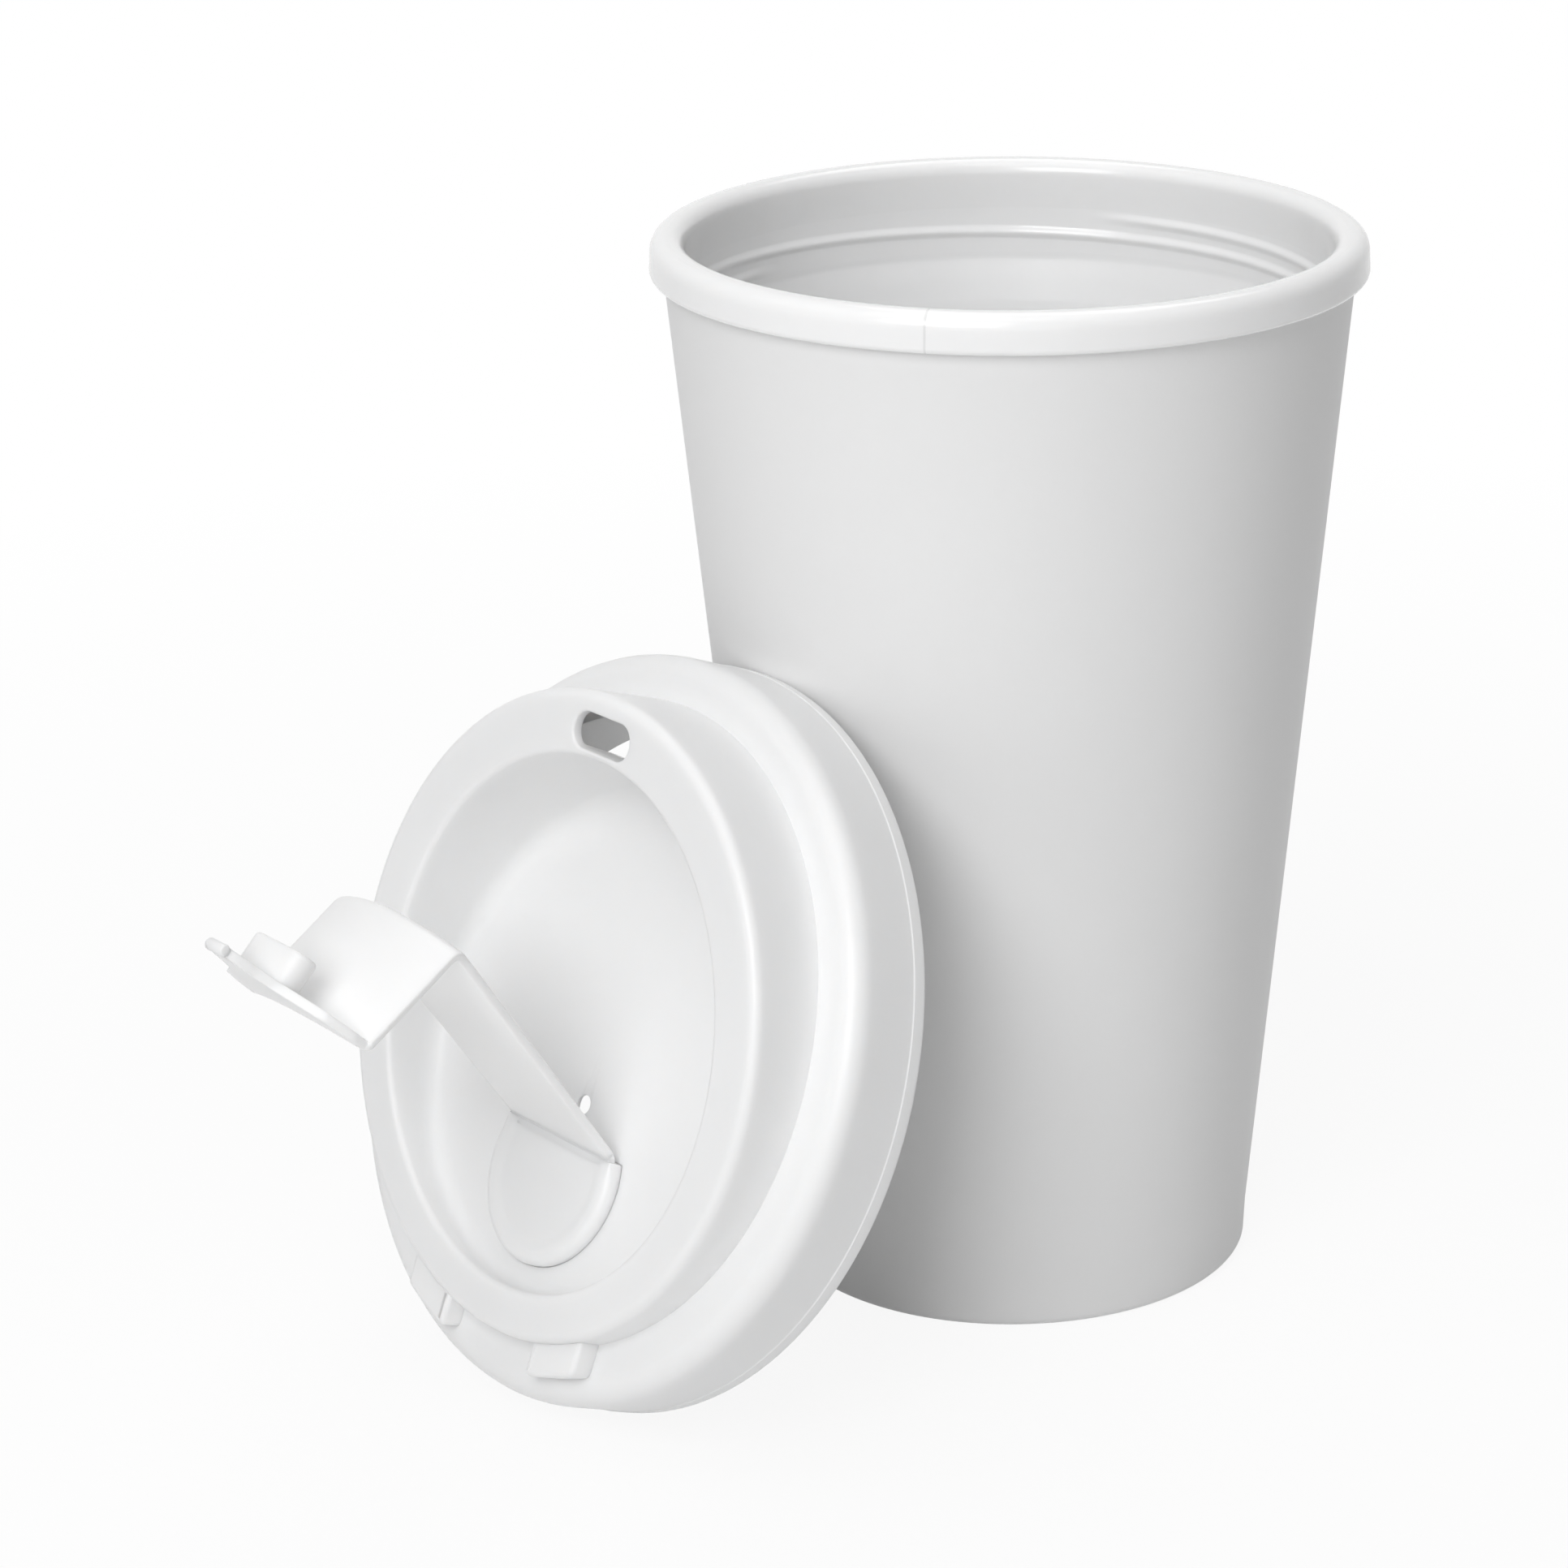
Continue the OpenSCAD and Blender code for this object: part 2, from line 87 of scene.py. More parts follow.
@dataclass(frozen=True)
class Finish:
    """How a moulded plastic surface looks.

    Args:
        slot: The record's material slot.
        color: Base colour, linear.
        roughness: Middle of the roughness.
        spread: How far the roughness strays from its middle.
        coat: Weight of the clear sheen on top.
        grain: Height of the fine moulding grain in millimetres.
        grain_size: Number of grains per metre.
        waves: Height of the slow unevenness in millimetres.
        glow: How much light scatters under the surface.
        shine: Strength of the surface reflection, where 0.5 is plain plastic.
    """

    slot: Slot
    color: tuple[float, float, float]
    roughness: float
    spread: float
    coat: float
    grain: float
    grain_size: float
    waves: float
    glow: float
    shine: float


OUTER_FINISH = Finish(
    slot=Slot.OUTER_WALL, color=(0.86, 0.86, 0.86), roughness=0.42, spread=0.06, coat=0.0,
    grain=0.010, grain_size=2600, waves=0.05, glow=0.10, shine=0.28,
)
# Painted light: the liner's colour is lighter than the outer wall's, partly its own white and partly
# standing in for the light inside the mouth.
LINER_FINISH_WITH_PAINTED_LIGHT = Finish(
    slot=Slot.LINER, color=(0.93, 0.93, 0.93), roughness=0.20, spread=0.05, coat=0.30,
    grain=0.002, grain_size=1500, waves=0.05, glow=0.30, shine=0.40,
)
LID_FINISH = Finish(
    slot=Slot.LID, color=(0.91, 0.91, 0.91), roughness=0.36, spread=0.05, coat=0.0,
    grain=0.008, grain_size=2600, waves=0.04, glow=0.50, shine=0.42,
)


@dataclass(frozen=True)
class Seam:
    """The fine parting line that crosses the band at the front: a shallow groove, whose colour is darkened
    as painted shade.

    Args:
        angle: Its angle round the cup's axis in radians.
        half_width: Half its width in millimetres.
        from_r: Distance from the axis where it starts.
        from_z: Height where it starts.
        depth: Its depth in millimetres.
        shade: How much darker its colour is painted, as a share: painted shade in the groove.
    """

    angle: float = float(np.radians(-53.3))
    half_width: float = 0.14
    from_r: float = 41.0
    from_z: float = 132.4
    depth: float = 0.06
    shade: float = 0.12


def eased(share: np.ndarray) -> np.ndarray:
    """Returns shares from 0 to 1 with a soft start and a soft end."""
    return share * share * (3 - 2 * share)


def tilted(points: np.ndarray, degrees: float) -> np.ndarray:
    """Turns points about the first axis.

    Args:
        points: The points.
        degrees: Angle of the turn, from the second axis towards the third.

    Returns:
        The turned points.
    """
    s, c = np.sin(np.radians(degrees)), np.cos(np.radians(degrees))
    x, y, z = np.moveaxis(points, -1, 0)
    return np.stack([x, y * c - z * s, y * s + z * c], axis=-1)


@dataclass(frozen=True)
class CupSizes:
    """Sizes of the cup, as in the part's source, with flatter ridges and a softer step, as in the photo."""

    # Lip and band
    height: float = 137.5
    rim_r: float = 45.5
    band_h: float = 5.0
    lip_round_out: float = 2.0
    lip_round_in: float = 1.9
    lip_draft: float = 0.25

    # Outer wall, foot and base
    wall_top_r: float = 43.7
    wall_base_r: float = 30.7
    wall_drop: float = 2.6
    outer_wall: float = 1.1
    foot_h: float = 5.5
    foot_draft: float = 0.3
    foot_ring_w: float = 4.0
    base_hollow: float = 1.4
    base_t: float = 1.6

    # Mouth and its thread ridges
    mouth_r: float = 41.0
    mouth_h: float = 5.5
    neck_from: float = 6.0
    seal_depth: float = 6.4
    thread_out: float = 0.34
    thread_lead: float = 5.0
    thread_depth: float = 7.4
    thread_from: float = 126.0
    thread_sweep: float = 300.0
    thread_half_w: float = 0.95
    thread_fade: float = 0.3

    # Step below the thread and the inside
    liner_wall: float = 1.15
    liner_gap: float = 0.1
    step_depth: float = 15.8
    step_half_h: float = 1.2
    step_from: float = 3.4
    step_high: float = 2.6
    step_low: float = 3.2
    liner_top_r: float = 39.22
    liner_floor_r: float = 26.39
    liner_floor_z: float = 7.0
    floor_round: float = 5.0

    def wall_r(self, z: float) -> float:
        """Returns the outer wall's outer radius at height z."""
        slope = (self.wall_top_r - self.wall_base_r) / (self.height - self.band_h)
        return self.wall_base_r + slope * z

    def neck_r(self, z: float) -> float:
        """Returns the liner's inner radius at height z in the mouth, above the step."""
        return min(self.mouth_r, self.wall_r(z) - self.outer_wall - self.liner_gap - self.liner_wall)


@dataclass(frozen=True)
class LidSizes:
    """Sizes of the lid and its flap, as in the part's source.

    The ring lies up to 1.6 mm inside the source's ring and a little towards the slot, the lugs are
    slightly shallower, the plug ends higher and the root plate's edge is softer, as the photo shows.
    """

    # Skirt and shoulder
    skirt_in: float = 45.65
    skirt_r: float = 46.6
    lip_out: float = 0.12
    lip_h: float = 1.8
    shoulder_h: float = 11.5
    shoulder_round: float = 5.0
    wall: float = 1.3

    # Raised ring and its ledge
    ring_r: float = 40.1
    ring_shift: float = 0.7
    ring_draft: float = 3.0
    ring_round: float = 1.3
    ledge_h: float = 19.4
    ledge_tilt: float = 6.3

    # Drinking slot and vent
    slot_l: float = 11.2
    slot_w: float = 4.6
    slot_y: float = 35.1
    slot_edge: float = 0.35
    vent_d: float = 2.4
    vent_y: float = -10.1
    vent_sink: float = 0.9

    # Plug, its sealing bead and its threads
    plug_r: float = 40.0
    plug_end: float = 1.9
    plug_wall: float = 1.4
    plug_bead_h: float = 6.8
    plug_bead_half_h: float = 1.2
    plug_bead_out: float = 0.9
    plug_thread_out: float = 0.6
    plug_thread_h: float = 4.6
    plug_thread_sweep: float = 70.0
    plug_thread_fade: float = 12.0
    plug_thread_root: float = 0.15

    # Bowl
    bowl_r: float = 31.6
    bowl_round: float = 2.6
    bowl_draft: float = 4.0
    bowl_back: float = 1.9
    bowl_dish: float = 0.5
    floor_tilt: float = 4.8

    # Hinge, strap, riser and plate of the flap
    hinge_back: float = 14.5
    hinge_h: float = 11.9
    open_angle: float = 60.6
    flap_t: float = 1.2
    flap_gap: float = 0.3
    strap_w: float = 20.6
    riser_w: float = 24.0
    riser_y: float = 42.73
    riser_lean: float = 5.0
    curve_r: float = 28.0
    tip_y: float = 44.3
    tab_short: float = 0.9
    sheet_edge: float = 0.3
    web_t: float = 0.95

    # Stopper, finger bead and vent nub
    stopper_gap: float = 0.3
    stopper_h: float = 4.2
    bead_half: float = 1.8
    bead_r: float = 0.74
    bead_back: float = 0.94
    nub_r: float = 0.8

    # Root plate and its seat
    root_r: float = 11.6
    root_back: float = 19.2
    root_seat: float = 0.4
    root_gap: float = 0.175
    root_clear: float = 0.07
    root_round: float = 1.1
    root_rim_w: float = 1.6
    root_sink: float = 0.2

    # Lugs behind the ring
    lug_gap: float = 17.6
    lug_w: float = 8.8
    lug_r: float = 43.3
    lug_low: float = 0.6
    lug_root: float = 1.2
    lug_round: float = 0.8

    # Place of the leaning lid
    lean: float = 22.0
    at_y: float = -56.852
    at_z: float = 43.318

    def ledge(self, y: float) -> float:
        """Returns the ledge's height at y."""
        return self.ledge_h + y * np.tan(np.radians(self.ledge_tilt))

    def floor(self, y: float) -> float:
        """Returns the bowl floor's height at y, before its slight dish."""
        top = self.hinge_h - self.flap_t - self.flap_gap
        return top - (y + self.hinge_back) * np.tan(np.radians(self.floor_tilt))

    def place(self, points: np.ndarray) -> np.ndarray:
        """Moves points of the lid's frame to where the lid leans.

        Args:
            points: Points in the lid's frame.

        Returns:
            The points in the row's frame.
        """
        return tilted(points, 90 - self.lean) + np.array([0, self.at_y, self.at_z])

    def open_flap(self, points: np.ndarray) -> np.ndarray:
        """Turns points from the closed flap's frame to its open pose, in the row's frame.

        Args:
            points: Points measured from the hinge line with the flap closed.

        Returns:
            The points in the row's frame.
        """
        return self.place(tilted(points, self.open_angle) + np.array([0, -self.hinge_back, self.hinge_h]))


CUP = CupSizes()
LID = LidSizes()


def outline(corners: Corners, steps: int = 6) -> np.ndarray:
    """Rounds the corners of a line of points, always with the same number of points.

    Each corner becomes an arc between its two points of touch, and each straight run between two
    arcs gets three points.

    Args:
        corners: For each corner, its two coordinates and the radius that rounds it.
        steps: Number of steps of each rounding.

    Returns:
        The points of the rounded line.
    """
    pts = np.array([c[:2] for c in corners], float)
    last = len(pts) - 1
    arcs = []
    for i, (_, _, radius) in enumerate(corners):
        if radius <= 0 or i in (0, last):
            arcs.append(np.array([pts[i]]))
            continue
        back, ahead = pts[i - 1] - pts[i], pts[i + 1] - pts[i]
        back_len, ahead_len = np.linalg.norm(back), np.linalg.norm(ahead)
        back, ahead = back / max(back_len, 1e-9), ahead / max(ahead_len, 1e-9)
        half = np.arccos(np.clip(back @ ahead, -1, 1)) / 2
        reach = min(radius / max(np.tan(half), 1e-6), 0.49 * back_len, 0.49 * ahead_len)
        start, end = pts[i] + back * reach, pts[i] + ahead * reach
        r = reach * np.tan(half)
        middle = pts[i] + (back + ahead) / max(np.linalg.norm(back + ahead), 1e-9) * np.hypot(reach, r)
        t = np.linspace(0, 1, steps + 1)[:, None]
        spread = np.pi - 2 * half
        if spread < 1e-3:
            arcs.append(start + (end - start) * t)
            continue
        leaving, arriving = np.sin((1 - t) * spread), np.sin(t * spread)
        arcs.append(middle + (leaving * (start - middle) + arriving * (end - middle)) / np.sin(spread))
    line = [arcs[0]]
    for before, arc in zip(arcs[:-1], arcs[1:]):
        a, b = before[-1], arc[0]
        line += [a + (b - a) * RUN_POINTS[:, None], arc]
    return np.concatenate(line)


def smooth(mesh: bpy.types.Mesh, sharp: float) -> None:
    """Shades a mesh smooth, apart from edges above an angle.

    Args:
        mesh: The mesh, which changes.
        sharp: The angle in degrees.
    """
    mesh.polygons.foreach_set("use_smooth", np.ones(len(mesh.polygons), bool))
    mesh.set_sharp_from_angle(angle=np.radians(sharp))


def make_object(name: str, verts: np.ndarray, faces: list, sharp: float = SHARP) -> bpy.types.Object:
    """Makes a smooth-shaded mesh object from points in millimetres.

    Args:
        name: Name of the object.
        verts: Points in the row's frame.
        faces: Faces as lists of point numbers.
        sharp: Angle in degrees above which an edge stays sharp.

    Returns:
        The new object, linked to the scene.
    """
    mesh = bpy.data.meshes.new(name)
    mesh.from_pydata((verts * MM).tolist(), [], faces)
    mesh.validate()
    smooth(mesh, sharp)
    obj = bpy.data.objects.new(name, mesh)
    bpy.context.scene.collection.objects.link(obj)
    return obj


def solid(name: str, rows: np.ndarray, sharp: float = SHARP) -> bpy.types.Object:
    """Joins closed loops of points into a closed object.

    Each loop is joined to the next by quads, and a fan about its middle closes each end.

    Args:
        name: Name of the object.
        rows: Points by loop and by place along the loop.
        sharp: Angle in degrees above which an edge stays sharp.

    Returns:
        The object.
    """
    n, m = rows.shape[:2]
    i, j = np.arange(n - 1)[:, None], np.arange(m)[None, :]
    beside = (j + 1) % m
    quads = np.stack([i * m + j, i * m + beside, (i + 1) * m + beside, (i + 1) * m + j], axis=-1)
    verts = np.vstack([rows.reshape(-1, 3), rows[0].mean(axis=0), rows[-1].mean(axis=0)])
    here, there = j[0], beside[0]
    first = np.column_stack([there, here, np.full(m, n * m)])
    final = np.column_stack([here, there, np.full(m, n * m + 1)]) + [(n - 1) * m, (n - 1) * m, 0]
    return make_object(name, verts, quads.reshape(-1, 4).tolist() + first.tolist() + final.tolist(), sharp)


def lathe(name: str, profile: np.ndarray, segments: int, shape: Callable | None = None) -> bpy.types.Object:
    """Turns a profile that starts and ends on the axis.

    Args:
        name: Name of the object.
        profile: Radius and height of each point.
        segments: Number of steps round the axis.
        shape: Gives the radius from the angle, the radius and the height, when it isn't round.

    Returns:
        The turned object.
    """
    angle = np.linspace(0, 2 * np.pi, segments, endpoint=False)[None, :]
    r, z = profile[:, :1] + 0 * angle, profile[:, 1:] + 0 * angle
    if shape is not None:
        r = shape(angle, r, z)
    rows = np.stack([r * np.cos(angle), r * np.sin(angle), z], axis=-1)
    return solid(name, rows[1:-1])


def inset_rows(shape: np.ndarray, steps: Iterable[tuple[float, float]]) -> np.ndarray:
    """Stacks copies of a closed outline, each moved inwards and set at a height.

    Args:
        shape: Points of the outline, counter-clockwise.
        steps: How far each copy moves inwards, and its height.

    Returns:
        The points by row and column.
    """
    ahead = np.roll(shape, -1, axis=0) - np.roll(shape, 1, axis=0)
    normal = np.stack([-ahead[:, 1], ahead[:, 0]], axis=1)
    normal /= np.linalg.norm(normal, axis=1)[:, None]
    rows = []
    for inset, z in steps:
        ring = shape + normal * inset
        rows.append(np.column_stack([ring, np.full(len(ring), z)]))
    return np.array(rows)


def round_steps(z0: float, z1: float, r0: float, r1: float, n: int = 5) -> list[tuple[float, float]]:
    """Insets and heights of a block with rounded lower and upper edges.

    Args:
        z0: Lower height.
        z1: Upper height.
        r0: Rounding of the lower edge.
        r1: Rounding of the upper edge.
        n: Number of steps of each rounding.

    Returns:
        Pairs of inset and height, from the bottom to the top.
    """
    t = np.linspace(0, np.pi / 2, n + 1)
    low = [(r0 * (1 - np.sin(a)), z0 + r0 * (1 - np.cos(a))) for a in t] if r0 > 0 else [(0.0, z0)]
    high = [(r1 * (1 - np.cos(a)), z1 - r1 * (1 - np.sin(a))) for a in t] if r1 > 0 else [(0.0, z1)]
    return low + high


def obround(length: float, width: float, n: int = 16) -> np.ndarray:
    """Returns the outline of a slot with round ends, centred and counter-clockwise."""
    r, x = width / 2, (length - width) / 2
    t = np.linspace(-np.pi / 2, np.pi / 2, n + 1)
    right = np.column_stack([x + r * np.cos(t), r * np.sin(t)])
    return np.vstack([right, -right])


@dataclass
class Cup:
    """The cup: outer wall and liner.

    Args:
        sizes: Sizes of the cup.
        segments: Number of steps round the axis.
    """

    sizes: CupSizes = CUP
    segments: int = 256

    def outer_wall(self) -> bpy.types.Object:
        """Builds the outer wall with its foot and base.

        Returns:
            The outer wall.
        """
        s = self.sizes
        foot_r = s.wall_r(s.foot_h) - s.foot_draft
        inner = foot_r - s.foot_ring_w
        end = s.height - s.wall_drop
        floor = s.base_hollow + s.base_t
        t = s.outer_wall
        corners = [
            (0, s.base_hollow, 0), (inner - s.base_hollow, s.base_hollow, 0.5), (inner, 0, 0.4),
            (foot_r, 0, 1.2), (s.wall_r(s.foot_h), s.foot_h, 9), (s.wall_r(end), end, 0.3),
            (s.wall_r(end) - t, end, 0.3), (s.wall_r(s.foot_h) - t, s.foot_h, 2),
            (foot_r - t, floor, 1.2), (0, floor, 0),
        ]
        return lathe("outer_wall", outline(corners, 7), self.segments)

    def thread(self, angle: np.ndarray, z: np.ndarray) -> np.ndarray:
        """Height of the mouth's two thread ridges.

        Each ridge is a smooth bump across. It starts high on its own side of the mouth, falls by
        the lead in each turn, and fades at both ends.

        Args:
            angle: Angle round the axis.
            z: Height.

        Returns:
            How far the ridge stands out, in millimetres.
        """
        s = self.sizes
        depth = s.height - z
        sweep = np.radians(s.thread_sweep)
        total = np.zeros(np.broadcast(angle, z).shape)
        for start in (np.radians(s.thread_from), np.radians(s.thread_from) + np.pi):
            run = np.mod(start - angle, 2 * np.pi)
            crest = s.thread_depth + s.thread_lead * run / (2 * np.pi)
            fade = np.clip(run / s.thread_fade, 0, 1) * np.clip((sweep - run) / s.thread_fade, 0, 1)
            across = np.clip(1 - np.abs(depth - crest) / s.thread_half_w, 0, 1)
            total = np.maximum(total, s.thread_out * eased(fade) * eased(across))
        return total

    def liner(self) -> bpy.types.Object:
        """Builds the liner with its lip, band, mouth and thread ridges.

        Returns:
            The liner.
        """
        s = self.sizes
        step, band = s.height - s.step_depth, s.height - s.band_h
        end, seal_z = s.height - s.wall_drop, s.height - s.seal_depth
        under, t, gap = s.liner_floor_z - s.liner_wall, s.liner_wall, s.liner_gap
        slope = (s.mouth_r - s.neck_r(step + s.step_half_h)) / (seal_z - step - s.step_half_h)
        rows = np.linspace(s.height - s.neck_from, step + s.step_from, 90)
        neck = np.column_stack([s.mouth_r - slope * np.clip(seal_z - rows, 0, None), rows])
        before = outline([
            (0, under, 0), (s.liner_floor_r + t, under, s.floor_round),
            (s.liner_top_r + t, step - s.step_half_h, 2),
            (s.wall_r(step) - s.outer_wall - gap, step + s.step_half_h, 2),
            (s.wall_r(end) - s.outer_wall - gap, end + gap, 0), (s.wall_r(end) + gap, end + gap, 0),
            (s.wall_r(band) + gap, band, 0.25), (s.rim_r, band, 0.7),
            (s.rim_r - s.lip_draft, s.height, s.lip_round_out), (s.mouth_r, s.height, s.lip_round_in),
            (s.mouth_r, s.height - s.mouth_h, 0),
        ], 9)
        after = outline([
            (neck[-1, 0], neck[-1, 1], 0), (s.neck_r(step + s.step_high), step + s.step_high, 3.0),
            (s.liner_top_r, step - s.step_low, 6.0), (s.liner_floor_r, s.liner_floor_z, s.floor_round),
            (0, s.liner_floor_z, 0),
        ], 8)
        profile = np.vstack([before, neck, after[1:]])

        def shape(angle: np.ndarray, r: np.ndarray, z: np.ndarray) -> np.ndarray:
            """Radius with the thread ridges, on the mouth's side only."""
            mouth = np.arange(len(r))[:, None] >= len(before) - 1
            return np.where(mouth, r - self.thread(angle, z), r)

        return lathe("liner", profile, self.segments, shape)

    def build(self) -> list[bpy.types.Object]:
        """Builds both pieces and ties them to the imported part.

        Returns:
            The two objects.
        """
        wall, liner = self.outer_wall(), self.liner()
        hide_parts("outer_cup")
        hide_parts("inner_cup")
        for obj, finish in ((wall, OUTER_FINISH), (liner, LINER_FINISH_WITH_PAINTED_LIGHT)):
            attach(obj, Part.CUP.value)
        self.dress(wall, liner)
        return [wall, liner]

    def dress(self, wall: bpy.types.Object, liner: bpy.types.Object) -> None:
        """Gives the outer wall and the liner their plastics.

        Args:
            wall: The outer wall.
            liner: The liner, whose band has the seam.
        """
        paint([wall], plastic(OUTER_FINISH))
        paint([liner], plastic(LINER_FINISH_WITH_PAINTED_LIGHT, Seam()))


@dataclass
class Lid:
    """The lid: skirt, shoulder, ring with its ledge, bowl, plug, lugs and holes.

    Args:
        sizes: Sizes of the lid.
        segments: Number of steps round the axis.
    """

    sizes: LidSizes = LID
    segments: int = 320

    def section(self, angle: float) -> np.ndarray:
        """Outline of the lid's wall in the half-plane at one angle.

        Args:
            angle: Angle round the lid's axis, with the slot at a quarter turn.

        Returns:
            Radius and height of each point, from the axis below the bowl to the axis above it.
        """
        s = self.sizes
        sa, ca = np.sin(angle), np.cos(angle)

        def bowl_at(wall: float, lift: float) -> tuple[float, float]:
            """Radius and height of the bowl's side at a height above its floor."""
            foot = -s.bowl_back * sa + np.sqrt((s.bowl_r + wall) ** 2 - (s.bowl_back * ca) ** 2)
            r = foot + lift * np.tan(np.radians(s.bowl_draft + s.floor_tilt * sa))
            return r, s.floor(foot * sa) - wall + lift

        def bowl_to(wall: float, drop: float) -> tuple[float, float]:
            """Radius and height where the bowl's side reaches a plane below the ledge."""
            r, z = bowl_at(wall, 0)
            lift = 0.0
            for _ in range(6):
                r, z = bowl_at(wall, lift)
                lift += s.ledge(r * sa) - drop - z
            return bowl_at(wall, lift)

        lean = np.tan(np.radians(s.ring_draft))
        ring_r = s.ring_r + s.ring_shift * sa
        ring_top = ring_r - (s.ledge(ring_r * sa) - s.shoulder_h) * lean
        ring_h = s.ledge(ring_top * sa)
        under_r = ring_r - s.wall
        foot_r, foot_h = bowl_at(0, 0)
        foot_ur, foot_uh = bowl_at(s.wall, 0)
        edge_r, edge_h = bowl_to(0, 0)
        edge_ur, edge_uh = bowl_to(s.wall, s.wall)
        corner_r = s.skirt_r - s.shoulder_round
        ring_under = under_r - (s.ledge(under_r * sa) - s.shoulder_h) * lean
        channel = s.shoulder_h - s.wall
        dish_ur, dish_r = foot_ur * 0.6, foot_r * 0.62
        bead, bead_half = s.plug_bead_h, s.plug_bead_half_h
        return outline([
            (0, s.floor(0) - s.wall - s.bowl_dish, 0), (dish_ur, s.floor(dish_ur * sa) - s.wall - 0.3, 12),
            (foot_ur, foot_uh, 3.5), (edge_ur, edge_uh, 0.3),
            (ring_under, s.ledge(ring_under * sa) - s.wall, 0.5), (under_r, s.shoulder_h + 1.3, 0.5),
            (s.plug_r - s.plug_wall, s.shoulder_h, 0.5), (s.plug_r - s.plug_wall, s.plug_end, 0.3),
            (s.plug_r, s.plug_end, 0.5), (s.plug_r, bead - bead_half, 0.3),
            (s.plug_r + s.plug_bead_out, bead, 0.5), (s.plug_r, bead + bead_half, 0.3),
            (s.plug_r, channel, 0.4), (s.skirt_in, channel, 3.6), (s.skirt_in, 0, 0.12),
            (s.skirt_r + s.lip_out, 0, 0.35), (s.skirt_r + s.lip_out, s.lip_h, 0.1),
            (s.skirt_r, s.lip_h + s.lip_out, 0.3), (s.skirt_r, s.shoulder_h, s.shoulder_round),
            (corner_r - 0.3, s.shoulder_h, 0.0), (ring_r, s.shoulder_h, 0.0),
            (ring_r - 0.35 * lean, s.shoulder_h + 1.0, 0.6),
            (ring_top, ring_h, s.ring_round), (edge_r, edge_h, 0.7), (foot_r, foot_h, s.bowl_round),
            (dish_r, s.floor(dish_r * sa) - 0.35, 14), (0, s.floor(0) - s.bowl_dish, 0),
        ], 6)

    def shell(self) -> bpy.types.Object:
        """Builds the lid's shell before its holes are cut.

        Returns:
            The shell.
        """
        angles = np.linspace(0, 2 * np.pi, self.segments, endpoint=False)
        sections = np.array([self.section(a) for a in angles])
        r, h = sections[..., 0].T, sections[..., 1].T
        rows = np.stack([r * np.cos(angles), r * np.sin(angles), h], axis=-1)
        return solid("lid_shell", self.sizes.place(rows[1:-1]))

    def cutter(self, name: str, shape: np.ndarray, at: tuple[float, float, float], tilt: float,
               steps: list[tuple[float, float]]) -> bpy.types.Object:
        """Builds a block that cuts a hole with a softened edge.

        Args:
            name: Name of the block.
            shape: Outline of the hole.
            at: The point of the surface where the hole is centred, in the lid's frame.
            tilt: Slope of the surface in degrees.
            steps: Inset and height of each level, from the bottom to the top.

        Returns:
            The block.
        """
        moved = tilted(inset_rows(shape, steps), tilt) + np.array(at)
        return solid(name, self.sizes.place(moved))

    def cut(self, shell: bpy.types.Object, cutters: Sequence[bpy.types.Object]) -> None:
        """Cuts the blocks out of the shell and removes them.

        Args:
            shell: The shell, which changes.
            cutters: The blocks.
        """
        for block in cutters:
            tool = shell.modifiers.new(block.name, "BOOLEAN")
            tool.operation = "DIFFERENCE"
            tool.solver = "EXACT"
            tool.object = block
        bpy.context.view_layer.update()
        cut = bpy.data.meshes.new_from_object(shell.evaluated_get(bpy.context.evaluated_depsgraph_get()))
        shell.modifiers.clear()
        shell.data = cut
        smooth(cut, SHARP)
        for block in cutters:
            bpy.data.objects.remove(block)

    def holes(self) -> list[bpy.types.Object]:
        """Builds the blocks for the drinking slot, the vent and the root plate's seat.

        Returns:
            The three blocks.
        """
        s = self.sizes
        above = 1.5
        quarter = np.linspace(np.pi / 2, 0, 6)
        flare = [(s.slot_edge * (np.sin(a) - 1), s.slot_edge * (np.cos(a) - 1)) for a in quarter]
        through = [(0.0, -3.2), *flare, (-s.slot_edge, above)]
        slot_place = (0, s.slot_y, s.ledge(s.slot_y))
        slot = self.cutter("slot_block", obround(s.slot_l, s.slot_w), slot_place, s.ledge_tilt, through)
        t = np.linspace(0, 2 * np.pi, 32, endpoint=False)
        round_hole = np.column_stack([np.cos(t), np.sin(t)]) * s.vent_d / 2
        countersink = [(-s.vent_sink, -4.0), (-s.vent_sink, -1.3), (0.0, -0.75)]
        vent_edge = [(inset * 0.5, z * 0.5 - 0.4) for inset, z in flare]
        vent_place = (0, s.vent_y, s.floor(s.vent_y))
        vent = self.cutter("vent_block", round_hole, vent_place, -s.floor_tilt,
                           [*countersink, *vent_edge, (-0.2, above)])
        seat_place = (0, -s.hinge_back, s.floor(-s.hinge_back))
        seat = self.cutter("seat_block", self.root_outline(s.root_clear), seat_place, -s.floor_tilt,
                           [(0.0, -1.0), (0.0, 3.0)])
        return [slot, vent, seat]

    def root_outline(self, extra: float) -> np.ndarray:
        """Outline of the root plate or its seat, measured from the hinge line.

        Args:
            extra: How far the outline stands outside the plate.

        Returns:
            The points, counter-clockwise.
        """
        s = self.sizes
        r = s.root_r + extra
        back = s.root_back - s.hinge_back
        edge = -s.root_gap + extra
        half = np.arcsin(np.clip((edge + back) / r, -1, 1))
        t = np.linspace(np.pi - half, 2 * np.pi + half, 80)
        arc = np.column_stack([r * np.cos(t), r * np.sin(t) - back])
        straight = np.linspace(arc[-1], arc[0], 26)[1:-1]
        return np.vstack([arc, straight])

